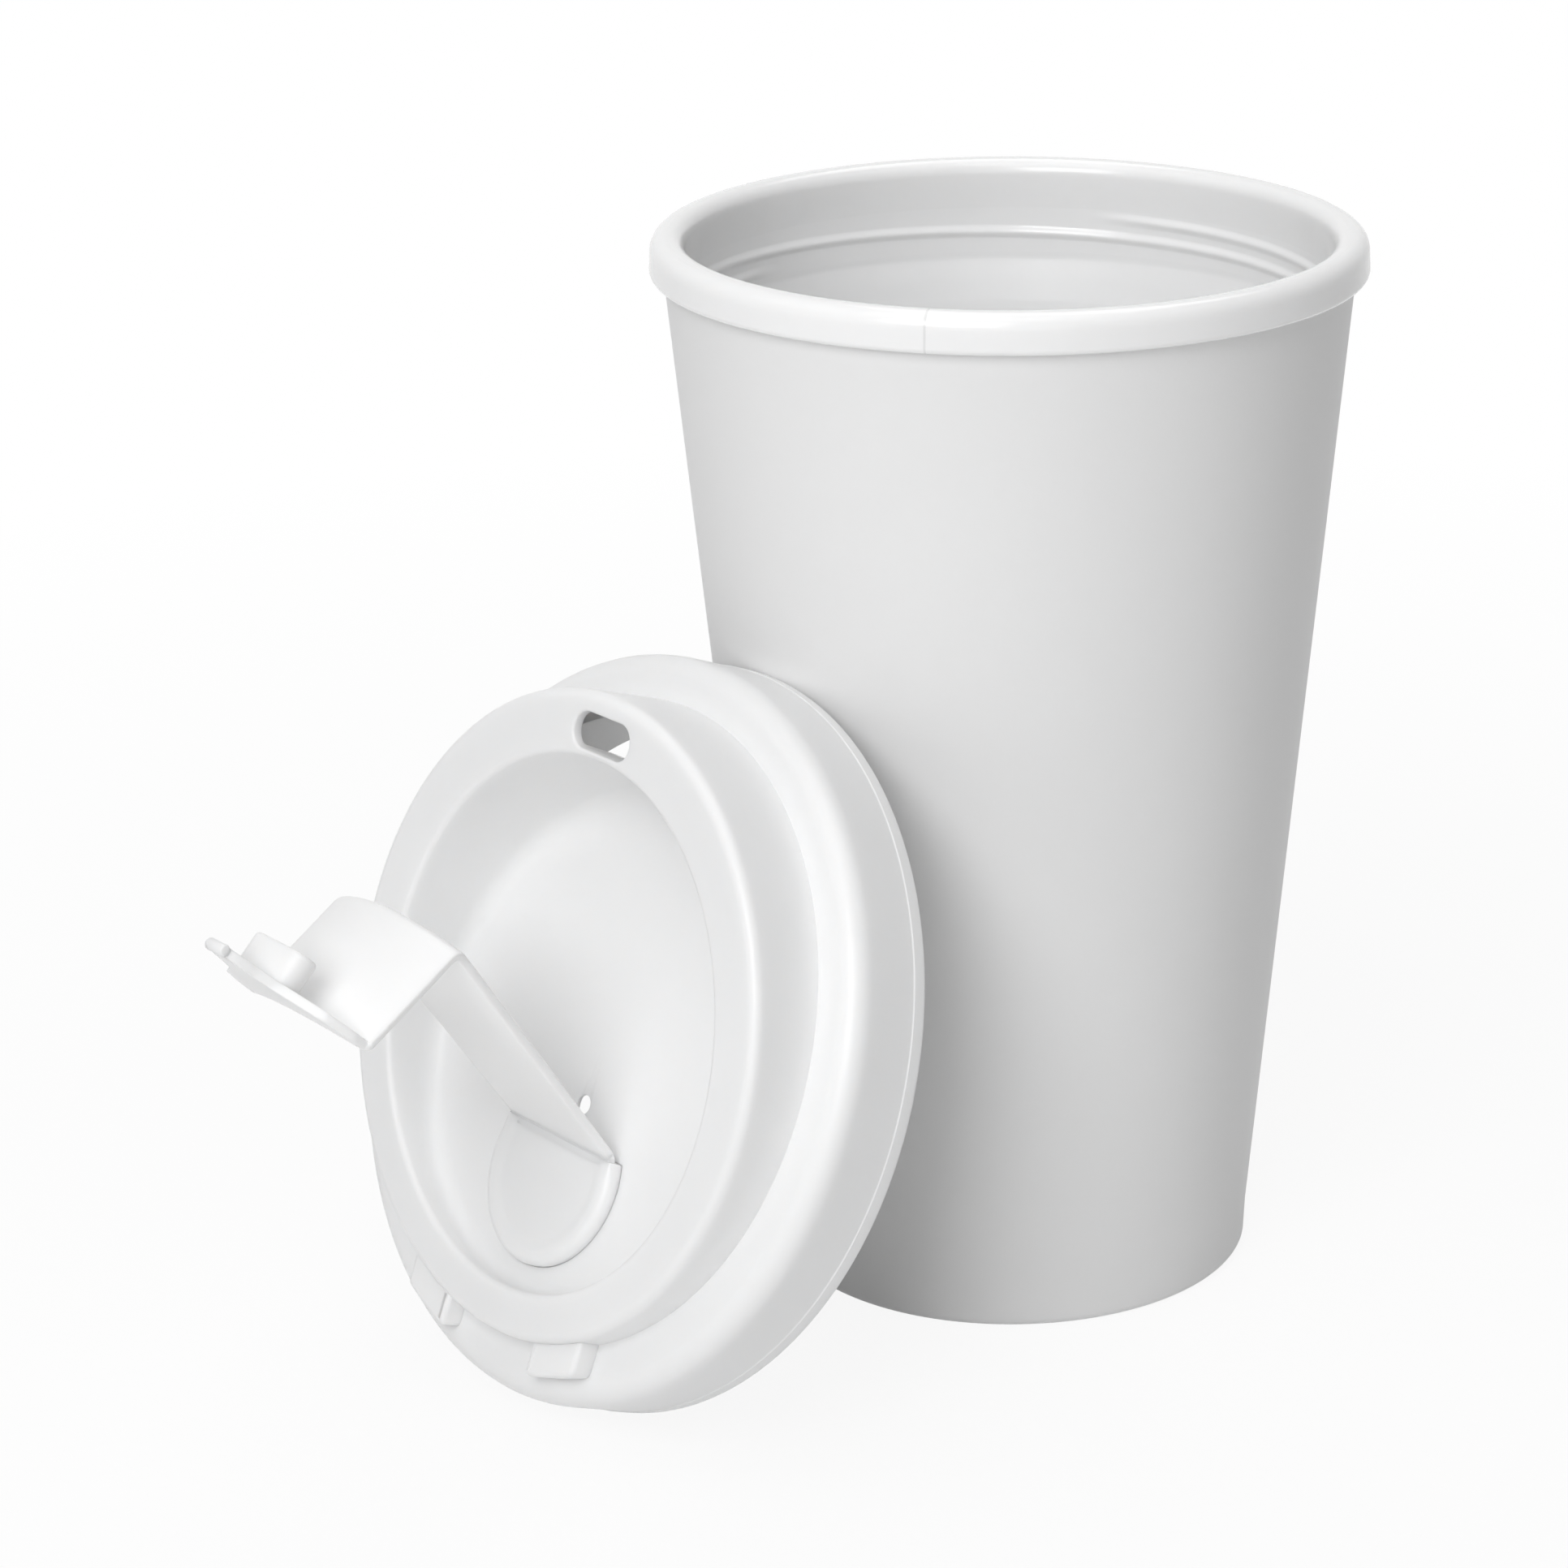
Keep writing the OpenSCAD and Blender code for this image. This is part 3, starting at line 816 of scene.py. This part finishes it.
    def root_plate(self) -> bpy.types.Object:
        """Builds the flap's root plate with its raised rim and its soft edge.

        Returns:
            The root plate.
        """
        s = self.sizes
        shape = self.root_outline(0)
        top = s.flap_gap + s.flap_t
        fan = 2.5
        centre = np.array([0, s.hinge_back - s.root_back - fan])
        rows = list(inset_rows(shape, round_steps(-s.root_seat, top, 0, s.root_round)))
        soft = np.clip(-shape[:, 1:] / fan, 0, 1)
        for row in rows:
            row[:, :2] = shape + (row[:, :2] - shape) * soft
        inner = rows[-1][:, :2]
        for share in np.linspace(0.02, 0.985, 60):
            ring = inner + (centre - inner) * share
            far = np.linalg.norm(ring - np.array([0, s.hinge_back - s.root_back]), axis=1)
            sunk = np.clip((s.root_r - s.root_rim_w - far) / s.root_rim_w, 0, 1)
            rows.append(np.column_stack([ring, top - s.root_sink * eased(sunk)]))
        hinge = np.array([0, -s.hinge_back, s.floor(-s.hinge_back)])
        return solid("root_plate", s.place(tilted(np.array(rows), -s.floor_tilt) + hinge))

    def lugs(self) -> list[bpy.types.Object]:
        """Builds the two rounded lugs behind the ring.

        Each lug is a block between two upright planes, whose outer and inner faces follow circles
        about the lid's axis. Its edges are rounded, and its inner face and foot lie in the lid.

        Returns:
            The two lugs.
        """
        s = self.sizes
        made = []
        low, top = s.shoulder_h - 1.0, s.ledge(-s.ring_r) - s.lug_low
        outer, inner = s.lug_r, s.ring_r - s.lug_root
        for side, name in ((-1, "lug_left"), (1, "lug_right")):
            x = side * (s.lug_gap / 2 + s.lug_w * np.linspace(0, 1, 15))
            near, far = -np.sqrt(inner**2 - x**2), -np.sqrt(outer**2 - x**2)
            ring = [(near, top), (far, top), (far, low), (near, low)]
            rows = np.stack([np.stack([x, y, np.full(len(x), z)], axis=-1) for y, z in ring], axis=1)
            lug = solid(name, s.place(rows if side > 0 else rows[::-1]))
            soften = lug.modifiers.new("soften", "BEVEL")
            soften.width = s.lug_round * MM
            soften.segments = 4
            soften.angle_limit = np.radians(50)
            made.append(lug)
        return made

    def plug_threads(self) -> list[bpy.types.Object]:
        """Builds the two short threads of the plug, which catch under the mouth's ridges.

        Each is a smooth bump across, carried along a falling arc. It fades at both ends, and its
        root lies inside the plug's wall.

        Returns:
            The two threads.
        """
        s = self.sizes
        share = np.linspace(0, 1, 49)[:, None]
        across = np.linspace(1, -1, 13)[None, :]
        fade = np.clip(np.minimum(share, 1 - share) * s.plug_thread_sweep / s.plug_thread_fade, 0, 1)
        bump = np.cos(across * np.pi / 2) ** 0.8 * eased(fade)
        r = s.plug_r - s.plug_thread_root + (s.plug_thread_out + s.plug_thread_root) * bump
        r = np.hstack([r, np.full((len(share), 1), s.plug_r - s.plug_thread_out)])
        middle = s.plug_thread_h - CUP.thread_lead * share * s.plug_thread_sweep / 360
        h = np.hstack([middle + CUP.thread_half_w * across, middle])
        starts = {"plug_thread_left": CUP.thread_from, "plug_thread_right": CUP.thread_from + 180}
        made = []
        for name, start in starts.items():
            angle = np.radians(start - s.plug_thread_sweep * share)
            rows = np.stack([r * np.cos(angle), r * np.sin(angle), h], axis=-1)
            made.append(solid(name, s.place(rows), 60))
        return made

    def build(self) -> list[bpy.types.Object]:
        """Builds the lid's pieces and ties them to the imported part.

        Returns:
            The objects.
        """
        shell = self.shell()
        self.cut(shell, self.holes())
        root = self.root_plate()
        pieces = [shell, root, *self.lugs(), *self.plug_threads()]
        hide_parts("lid")
        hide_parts("flap_base")
        for obj in pieces:
            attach(obj, Part.CUP.value)
        paint(pieces, plastic(LID_FINISH))
        return pieces


@dataclass
class Flap:
    """The flap: strap, curved riser and plate in one sheet, with stopper, nub, bead and hinge web.

    Args:
        sizes: Sizes of the lid and its flap.
        columns: Number of steps across the sheet.
    """

    sizes: LidSizes = LID
    columns: int = 40

    def side_line(self, x: float) -> np.ndarray:
        """Side view of the sheet's top face at one distance from the middle.

        Args:
            x: Distance from the middle, as if the sheet were as wide as its riser all along.

        Returns:
            The distance from the hinge line and the height of each point.
        """
        s = self.sizes
        sag = s.curve_r - np.sqrt(s.curve_r**2 - x**2)
        strap = np.tan(np.radians(s.floor_tilt))
        slope = np.tan(np.radians(s.ledge_tilt))
        lean = np.tan(np.radians(s.riser_lean))
        plate_z = s.ledge(-s.hinge_back) + s.flap_gap + s.flap_t - s.hinge_h
        inner_y = s.riser_y - s.flap_t - sag
        y1 = inner_y + s.flap_t * lean
        z1 = -y1 * strap
        rise = (plate_z + inner_y * slope - z1) / (1 - slope * lean)
        y2 = y1 + rise * lean
        z2 = plate_z + y2 * slope
        tip = s.tip_y + s.hinge_back - s.tab_short
        return outline([
            (0.25, -0.25 * strap, 0), (y1, z1, 0.5), (y2, z2, 1.25), (tip, plate_z + tip * slope, 0),
        ], 8)

    def half_width(self, line: np.ndarray) -> np.ndarray:
        """Half the sheet's width along its side view.

        Args:
            line: The side view.

        Returns:
            Half the width at each point.
        """
        s = self.sizes
        y, z = line[:, 0], line[:, 1]
        strap_end = s.riser_y - 6
        on_plate = (z > 0) & (y > strap_end)
        strap = s.strap_w / 2 + (s.riser_w - s.strap_w) / 2 * np.clip(y / strap_end, 0, 1)
        tip = s.tip_y + s.hinge_back
        stations = [
            (0, s.riser_w / 2), (s.riser_y + 3, s.riser_w / 2), (s.riser_y + 6.2, 10.4), (tip - 6.4, 4.6),
            (tip - 4.6, 3.2), (tip - 3.6, 2.9), (tip - 2.4, 2.3), (tip - 1.7, 1.7), (tip - 0.8, 1.6),
        ]
        away, half = np.array(stations).T
        return np.where(on_plate, np.interp(y, away, half), strap)

    def sheet(self) -> bpy.types.Object:
        """Builds the bent sheet with rounded side edges.

        Returns:
            The sheet.
        """
        s = self.sizes
        share = np.linspace(-1, 1, self.columns + 1)
        lines = np.array([self.refine(self.side_line(u * s.riser_w / 2)) for u in share])
        half = np.array([self.half_width(line) for line in lines])
        middle = half[len(share) // 2]
        x = share[:, None] * middle[None, :]
        top = np.stack([x, lines[..., 0], lines[..., 1]], axis=-1)
        along = np.gradient(top, axis=1)
        across = np.gradient(top, axis=0)
        normal = np.cross(across, along)
        normal /= np.linalg.norm(normal, axis=-1)[..., None]
        under = top - normal * s.flap_t
        side = across / np.linalg.norm(across, axis=-1)[..., None]

        def rounded(face: np.ndarray, k: int, up: int, out: int, angles: np.ndarray) -> list[np.ndarray]:
            """Lines round one edge of a face, each moved along the normal and the side direction."""
            sunk, drawn = (1 - np.sin(angles)) * s.sheet_edge, (np.cos(angles) - 1) * s.sheet_edge
            return [face[k] + up * normal[k] * a + out * side[k] * b for a, b in zip(sunk, drawn)]

        rising, falling = np.linspace(0, np.pi / 2, 5)[:-1], np.linspace(np.pi / 2, 0, 5)[1:]
        rows = [
            *rounded(top, 0, -1, -1, rising), *top[1:-1], *rounded(top, -1, -1, 1, falling),
            *rounded(under, -1, 1, 1, rising), *under[-2:0:-1], *rounded(under, 0, 1, -1, falling),
        ]
        loops = np.array(rows).transpose(1, 0, 2)
        return solid("flap_sheet", s.open_flap(loops), 50)

    def refine(self, line: np.ndarray) -> np.ndarray:
        """Adds points to the long straight runs, evenly in each run.

        Args:
            line: The side view.

        Returns:
            The finer line.
        """
        parts = []
        for k, (a, b) in enumerate(zip(line[:-1], line[1:])):
            n = self.steps_of(k, len(line))
            parts.append(a + (b - a) * np.linspace(0, 1, n, endpoint=False)[:, None])
        parts.append(line[-1:])
        return np.concatenate(parts)

    @staticmethod
    def steps_of(k: int, total: int) -> int:
        """Number of steps of one run of the side view, more on the straps and the plate."""
        long_runs = {1, 2, total - 4, total - 3, total - 2}
        return 16 if k in long_runs else 2

    def on_plate(self, rows: np.ndarray, y: float, lift: float) -> np.ndarray:
        """Sets points on the plate's plane, at a distance past the lid's axis.

        Args:
            rows: Points about the spot, with height measured out of the plate.
            y: Distance of the spot past the lid's axis.
            lift: Height of the spot above the ledge.

        Returns:
            The points in the closed flap's frame.
        """
        s = self.sizes
        spot = np.array([0, y + s.hinge_back, s.ledge(y) - s.hinge_h])
        return tilted(rows + np.array([0, 0, lift]), s.ledge_tilt) + spot

    def stopper(self) -> bpy.types.Object:
        """Builds the stopper that closes the drinking slot.

        Returns:
            The stopper.
        """
        s = self.sizes
        shape = obround(s.slot_l - 2 * s.stopper_gap, s.slot_w - 2 * s.stopper_gap)
        rows = inset_rows(shape, round_steps(-s.stopper_h, 0.4, 0.45, 0))
        return solid("flap_stopper", s.open_flap(self.on_plate(rows, s.slot_y, s.flap_gap)))

    def bead(self) -> bpy.types.Object:
        """Builds the finger bead along the tip of the tab.

        Returns:
            The bead.
        """
        s = self.sizes
        t = np.linspace(0, 2 * np.pi, 24, endpoint=False)
        end = [(s.bead_half - 0.3, s.bead_r), (s.bead_half - 0.06, 0.6), (s.bead_half, 0.4)]
        rows = []
        for x, r in [(-x, r) for x, r in reversed(end)] + end:
            rows.append(np.column_stack([np.full(len(t), x), r * np.cos(t), r * np.sin(t)]))
        pts = self.on_plate(np.array(rows), s.tip_y - s.bead_back, s.flap_gap + s.flap_t / 2)
        return solid("flap_bead", s.open_flap(pts))

    def nub(self) -> bpy.types.Object:
        """Builds the nub under the strap that closes the vent.

        Returns:
            The nub.
        """
        s = self.sizes
        t = np.linspace(0, 2 * np.pi, 28, endpoint=False)
        circle = np.column_stack([np.cos(t), np.sin(t)]) * s.nub_r
        tapered_end = [(0.62, -2.5), (0.45, -2.46), (0.34, -2.3), (0.0, -1.15), (0.0, -0.6)]
        along = (s.vent_y + s.hinge_back) / np.cos(np.radians(s.floor_tilt))
        rows = inset_rows(circle, tapered_end) + np.array([0, along, 0])
        return solid("flap_nub", s.open_flap(tilted(rows, -s.floor_tilt)))

    def web(self) -> bpy.types.Object:
        """Builds the living hinge, a thin skin curved between the root plate and the strap, in its rest
        shape.

        Returns:
            The web.
        """
        s = self.sizes
        rest = s.open_angle - s.floor_tilt
        bends = 12
        back, lead_in, bend_step, lead_out, sunk = 0.9, 0.6, 0.05, 0.75, 0.06
        turns = np.radians(np.linspace(-s.floor_tilt, rest, bends))
        y, z = -back, back * np.tan(np.radians(s.floor_tilt))
        points, normals = [(y, z)], [np.radians(-s.floor_tilt)]
        bend = np.concatenate([[turns[0]], turns, [turns[-1]]])
        lengths = np.concatenate([[lead_in], np.full(bends, bend_step), [lead_out]])
        for angle, length in zip(bend, lengths):
            y, z = y + np.cos(angle) * length, z + np.sin(angle) * length
            points.append((y, z))
            normals.append(angle)
        line = np.array(points) - np.array([0.0, sunk])
        angle = np.array(normals)
        down = np.stack([np.sin(angle), -np.cos(angle)], axis=1) * s.web_t
        ring = np.vstack([line, (line + down)[::-1]])
        half = s.strap_w / 2 - 0.05
        places = np.linspace(-half, half, 12)
        rows = [np.column_stack([np.full(len(ring), x), ring]) for x in places]
        pts = np.array(rows) + np.array([0, -s.hinge_back, s.hinge_h])
        return solid("flap_web", s.place(pts))

    def build(self) -> list[bpy.types.Object]:
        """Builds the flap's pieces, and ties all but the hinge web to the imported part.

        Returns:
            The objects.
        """
        s = self.sizes
        sheet = self.sheet()
        moving = [sheet, self.stopper(), self.bead(), self.nub()]
        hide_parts("flap")
        for obj in moving:
            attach(obj, Part.FLAP.value)
        web = self.web()
        start = s.place(np.array([[0.0, -s.hinge_back - 0.25, s.hinge_h]]))[0] * MM
        end = s.place(np.array([[0.0, -s.hinge_back + 0.15, s.hinge_h + 0.2]]))[0] * MM
        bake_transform(web)
        pieces = [*moving, web]
        paint(pieces, plastic(LID_FINISH))
        return pieces


class Value:
    """A number in a shader, with arithmetic.

    Args:
        graph: The graph that the number belongs to.
        socket: The socket that gives it.
    """

    def __init__(self, graph: "Graph", socket: Any) -> None:
        """Keeps the graph and the socket."""
        self.graph = graph
        self.socket = socket

    def _do(self, operation: str, a: Any, b: Any = None) -> "Value":
        """Adds one maths node and returns its result."""
        values = [a] if b is None else [a, b]
        return self.graph.node("ShaderNodeMath", {"operation": operation}, *values)

    def __add__(self, other: Any) -> "Value":
        """Returns the sum."""
        return self._do("ADD", self, other)

    def __radd__(self, other: Any) -> "Value":
        """Returns the sum, with the other value first."""
        return self._do("ADD", other, self)

    def __sub__(self, other: Any) -> "Value":
        """Returns the difference."""
        return self._do("SUBTRACT", self, other)

    def __rsub__(self, other: Any) -> "Value":
        """Returns the difference, with the other value first."""
        return self._do("SUBTRACT", other, self)

    def __mul__(self, other: Any) -> "Value":
        """Returns the product."""
        return self._do("MULTIPLY", self, other)

    def __abs__(self) -> "Value":
        """Returns the number without its sign."""
        return self._do("ABSOLUTE", self)

    def below(self, limit: Any) -> "Value":
        """Returns one where the number is under the limit, else zero."""
        return self._do("LESS_THAN", self, limit)

    def above(self, limit: Any) -> "Value":
        """Returns one where the number is over the limit, else zero."""
        return self._do("GREATER_THAN", self, limit)


class Graph:
    """The shader of a material or of the world.

    Args:
        owner: The material or the world.
    """

    def __init__(self, owner: bpy.types.Material | bpy.types.World) -> None:
        """Empties the owner's shader."""
        owner.use_nodes = True
        self.owner = owner
        self.tree = owner.node_tree
        self.tree.nodes.clear()

    def node(self, kind: str, settings: dict[str, Any], *inputs: Any, out: int | str = 0,
             **named: Any) -> Value:
        """Adds a node.

        Args:
            kind: The node's type.
            settings: Its properties.
            inputs: Values of its sockets, in order.
            out: Which output to return.
            named: Values of sockets by name, with underscores for spaces.

        Returns:
            The chosen output.
        """
        made = self.tree.nodes.new(kind)
        for key, value in settings.items():
            setattr(made, key, value)
        pairs = list(enumerate(inputs)) + [(k.replace("_", " "), v) for k, v in named.items()]
        for key, value in pairs:
            if isinstance(value, Value):
                self.tree.links.new(value.socket, made.inputs[key])
            else:
                made.inputs[key].default_value = value
        return Value(self, made.outputs[out] if len(made.outputs) else None)

    def seen_as_white(self) -> Value:
        """Returns one for the rays to which the surroundings look plain white."""
        kinds = ("Camera", "Glossy", "Transmission")
        seen, glossy, through = (self.node("ShaderNodeLightPath", {}, out=f"Is {k} Ray") for k in kinds)
        return seen + glossy + through


@cache
def plastic(finish: Finish, seam: Seam | None = None) -> bpy.types.Material:
    """Makes a moulded plastic, once for each finish.

    Slow clouds vary its roughness and its shade, and a fine grain and slow waves give its bumps.

    Args:
        finish: How it looks.
        seam: The parting line that crosses it, if any, with its painted shade.

    Returns:
        The material.
    """
    g = Graph(bpy.data.materials.new(f"{finish.slot.value}_plastic"))
    place = g.node("ShaderNodeTexCoord", {}, out="Object")
    solid = {"noise_dimensions": "3D"}
    cloud = g.node("ShaderNodeTexNoise", solid, place, Scale=38.0, Detail=3.0, Roughness=0.55)
    slow = g.node("ShaderNodeTexNoise", solid, place, Scale=16.0, Detail=2.0)
    fine = g.node("ShaderNodeTexNoise", solid, place, Scale=finish.grain_size, Detail=2.0)
    rough = finish.roughness + (cloud - 0.5) * (finish.spread * 2) + (fine - 0.5) * (finish.spread * 0.6)
    shade = g.node("ShaderNodeMapRange", {}, cloud, 0.3, 0.7, 0.985, 1.0)
    color = g.node("ShaderNodeVectorMath", {"operation": "SCALE"}, finish.color, Scale=shade)
    height = (fine - 0.5) * (finish.grain * MM) + (slow - 0.5) * (finish.waves * MM)
    if seam is not None:
        parts = g.tree.nodes.new("ShaderNodeSeparateXYZ")
        g.tree.links.new(place.socket, parts.inputs[0])
        x, y, z = (Value(g, parts.outputs[k]) for k in range(3))
        s, c = float(np.sin(seam.angle)), float(np.cos(seam.angle))
        across, along = x * -s + y * c, x * c + y * s
        on_band = along.above(seam.from_r * MM) * z.above(seam.from_z * MM)
        line = abs(across).below(seam.half_width * MM) * on_band
        height = height - line * (seam.depth * MM)
        # Painted shade: the parting line's colour is darkened, standing in for shade in its fine groove.
        color = g.node("ShaderNodeVectorMath", {"operation": "SCALE"}, color, Scale=1.0 - line * seam.shade)
    bump = g.node("ShaderNodeBump", {}, Strength=1.0, Distance=1.0, Height=height)
    bsdf = g.node(
        "ShaderNodeBsdfPrincipled", {}, Base_Color=color, Roughness=rough, IOR=1.49,
        Specular_IOR_Level=finish.shine, Coat_Weight=finish.coat, Coat_Roughness=0.08,
        Subsurface_Weight=finish.glow, Subsurface_Scale=0.0025, Subsurface_Radius=(1.0, 0.95, 0.9),
        Normal=bump,
    )
    g.node("ShaderNodeOutputMaterial", {}, bsdf)
    return g.owner


@dataclass(frozen=True)
class Lamp:
    """A square soft light that looks at the cup.

    Args:
        name: Its name.
        away: Its place in metres, measured in the camera's right, up and backward directions.
        size: Length of its side in metres.
        watts: Its power.
    """

    name: str
    away: tuple[float, float, float]
    size: float
    watts: float


LAMPS = (
    Lamp("key", (-0.38, 0.75, 1.04), 0.75, 9.1),
    Lamp("top", (-0.15, 1.3, 0.3), 0.9, 3.9),
    Lamp("back", (0.1, 1.2, -0.6), 0.8, 4.2),
    Lamp("left", (-0.8, 1.0, 0.1), 0.7, 0.6),
    Lamp("right", (0.5, 1.1, 0.3), 0.8, 0.8),
    Lamp("front", (0.0, 0.3, 1.2), 0.8, 1.1),
)


@dataclass
class Studio:
    """The pale floor, the soft lights, the white surroundings and the camera.

    Args:
        image: Width and height of the photo's picture plane in steps of its own grid.
        focal: Focal length in the same steps.
        centre: Where the line of sight through the lens meets the picture plane.
        eye: The camera's place in metres.
        forward: Direction of sight.
        right: Direction of the picture's right side.
        down: Direction of the picture's lower side.
        sensor: Width of the camera's sensor in millimetres.
        target: The point that the lamps look at, in metres.
        soft: Strength of the light that the surroundings give.
        floor_half: Half the floor's width in millimetres.
        shadow_reach: Distances in metres from which the floor's shadow fades, and where the fade ends.
        floor_white: Share of plain white that the floor has near the cup.
    """

    image: float = 1932.0
    focal: float = 5930.15
    centre: tuple[float, float] = (1371.5, 830.6)
    eye: tuple[float, float, float] = (0.4523, -0.3850, 0.2736)
    forward: tuple[float, float, float] = (-0.7096, 0.6317, -0.3121)
    right: tuple[float, float, float] = (0.6640, 0.7477, 0.0037)
    down: tuple[float, float, float] = (0.2357, -0.2047, -0.9500)
    sensor: float = 36.0
    target: tuple[float, float, float] = (0.0, -0.02, 0.07)
    soft: float = 0.10
    floor_half: float = 4000.0
    shadow_reach: tuple[float, float] = (0.10, 0.4)
    floor_white: float = 0.9

    def camera(self) -> None:
        """Places the camera where the photo was taken from."""
        data = bpy.data.cameras.new("camera")
        data.sensor_width = self.sensor
        data.lens = self.focal / self.image * self.sensor
        data.shift_x = (self.image / 2 - self.centre[0]) / self.image
        data.shift_y = (self.centre[1] - self.image / 2) / self.image
        data.clip_start = 0.01
        data.clip_end = 20
        obj = bpy.data.objects.new("camera", data)
        bpy.context.scene.collection.objects.link(obj)
        axes = np.array([self.right, [-v for v in self.down], [-v for v in self.forward]]).T
        q, _ = np.linalg.qr(axes)
        q *= np.sign((q * axes).sum(axis=0))
        turn = Matrix(q.tolist()).to_4x4()
        obj.matrix_world = Matrix.Translation(self.eye) @ turn
        bpy.context.scene.camera = obj

    def floor(self) -> None:
        """Makes the plain pale floor, which keeps a little of the shadow near the cup."""
        corners = np.array([(-1, -1, 0), (1, -1, 0), (1, 1, 0), (-1, 1, 0)], float)
        obj = make_object("floor", corners * self.floor_half, [[0, 1, 2, 3]])
        g = Graph(bpy.data.materials.new("floor_paint"))
        bsdf = g.node("ShaderNodeBsdfPrincipled", {}, Base_Color=(0.9, 0.9, 0.9, 1.0), Roughness=0.9)
        white = g.node("ShaderNodeEmission", {}, Color=WHITE, Strength=1.0)
        place = g.node("ShaderNodeTexCoord", {}, out="Object")
        away = g.node("ShaderNodeVectorMath", {"operation": "LENGTH"}, place, out="Value")
        share = g.node("ShaderNodeMapRange", {}, away, *self.shadow_reach, self.floor_white, 1.0)
        mixed = g.node("ShaderNodeMixShader", {}, g.seen_as_white() * share, bsdf, white)
        g.node("ShaderNodeOutputMaterial", {}, mixed)
        obj.data.materials.append(g.owner)

    def world(self) -> None:
        """Surrounds the scene with soft light that the camera sees as white."""
        world = bpy.data.worlds.new("studio")
        bpy.context.scene.world = world
        g = Graph(world)
        soft = g.node("ShaderNodeBackground", {}, WHITE, self.soft)
        bright = g.node("ShaderNodeBackground", {}, WHITE, 1.0)
        mixed = g.node("ShaderNodeMixShader", {}, g.seen_as_white(), soft, bright)
        g.node("ShaderNodeOutputWorld", {}, mixed)

    def hang(self, lamp: Lamp) -> None:
        """Hangs one lamp.

        Args:
            lamp: The lamp.
        """
        right, up = np.array(self.right), np.array([0.0, 0.0, 1.0])
        back = np.cross(right, up)
        back = back / np.linalg.norm(back)
        right = np.cross(up, back)
        target = np.array(self.target)
        spot = target + right * lamp.away[0] + up * lamp.away[1] + back * lamp.away[2]
        data = bpy.data.lights.new(lamp.name, "AREA")
        data.size = lamp.size
        data.energy = lamp.watts
        obj = bpy.data.objects.new(lamp.name, data)
        bpy.context.scene.collection.objects.link(obj)
        z = (spot - target) / np.linalg.norm(spot - target)
        x = np.cross(up, z)
        x /= np.linalg.norm(x)
        y = np.cross(z, x)
        turn = Matrix(np.array([x, y, z]).T.tolist()).to_4x4()
        obj.matrix_world = Matrix.Translation(spot.tolist()) @ turn

    def build(self) -> None:
        """Builds the whole studio and sets plain colour handling."""
        bpy.context.scene.view_settings.view_transform = "Standard"
        self.camera()
        self.floor()
        self.world()
        for lamp in LAMPS:
            self.hang(lamp)


def paint(objects: Iterable[bpy.types.Object], material: bpy.types.Material) -> None:
    """Gives objects one material.

    Args:
        objects: The objects.
        material: The material.
    """
    for obj in objects:
        obj.data.materials.clear()
        obj.data.materials.append(material)


def main() -> None:
    """Loads the part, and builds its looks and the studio."""
    logging.basicConfig(level=logging.INFO)
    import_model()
    for assembly in (Cup(), Lid(), Flap()):
        for obj in assembly.build():
            LOG.info("%s has %d faces", obj.name, len(obj.data.polygons))
    Studio().build()


if __name__ == "__main__":
    main()
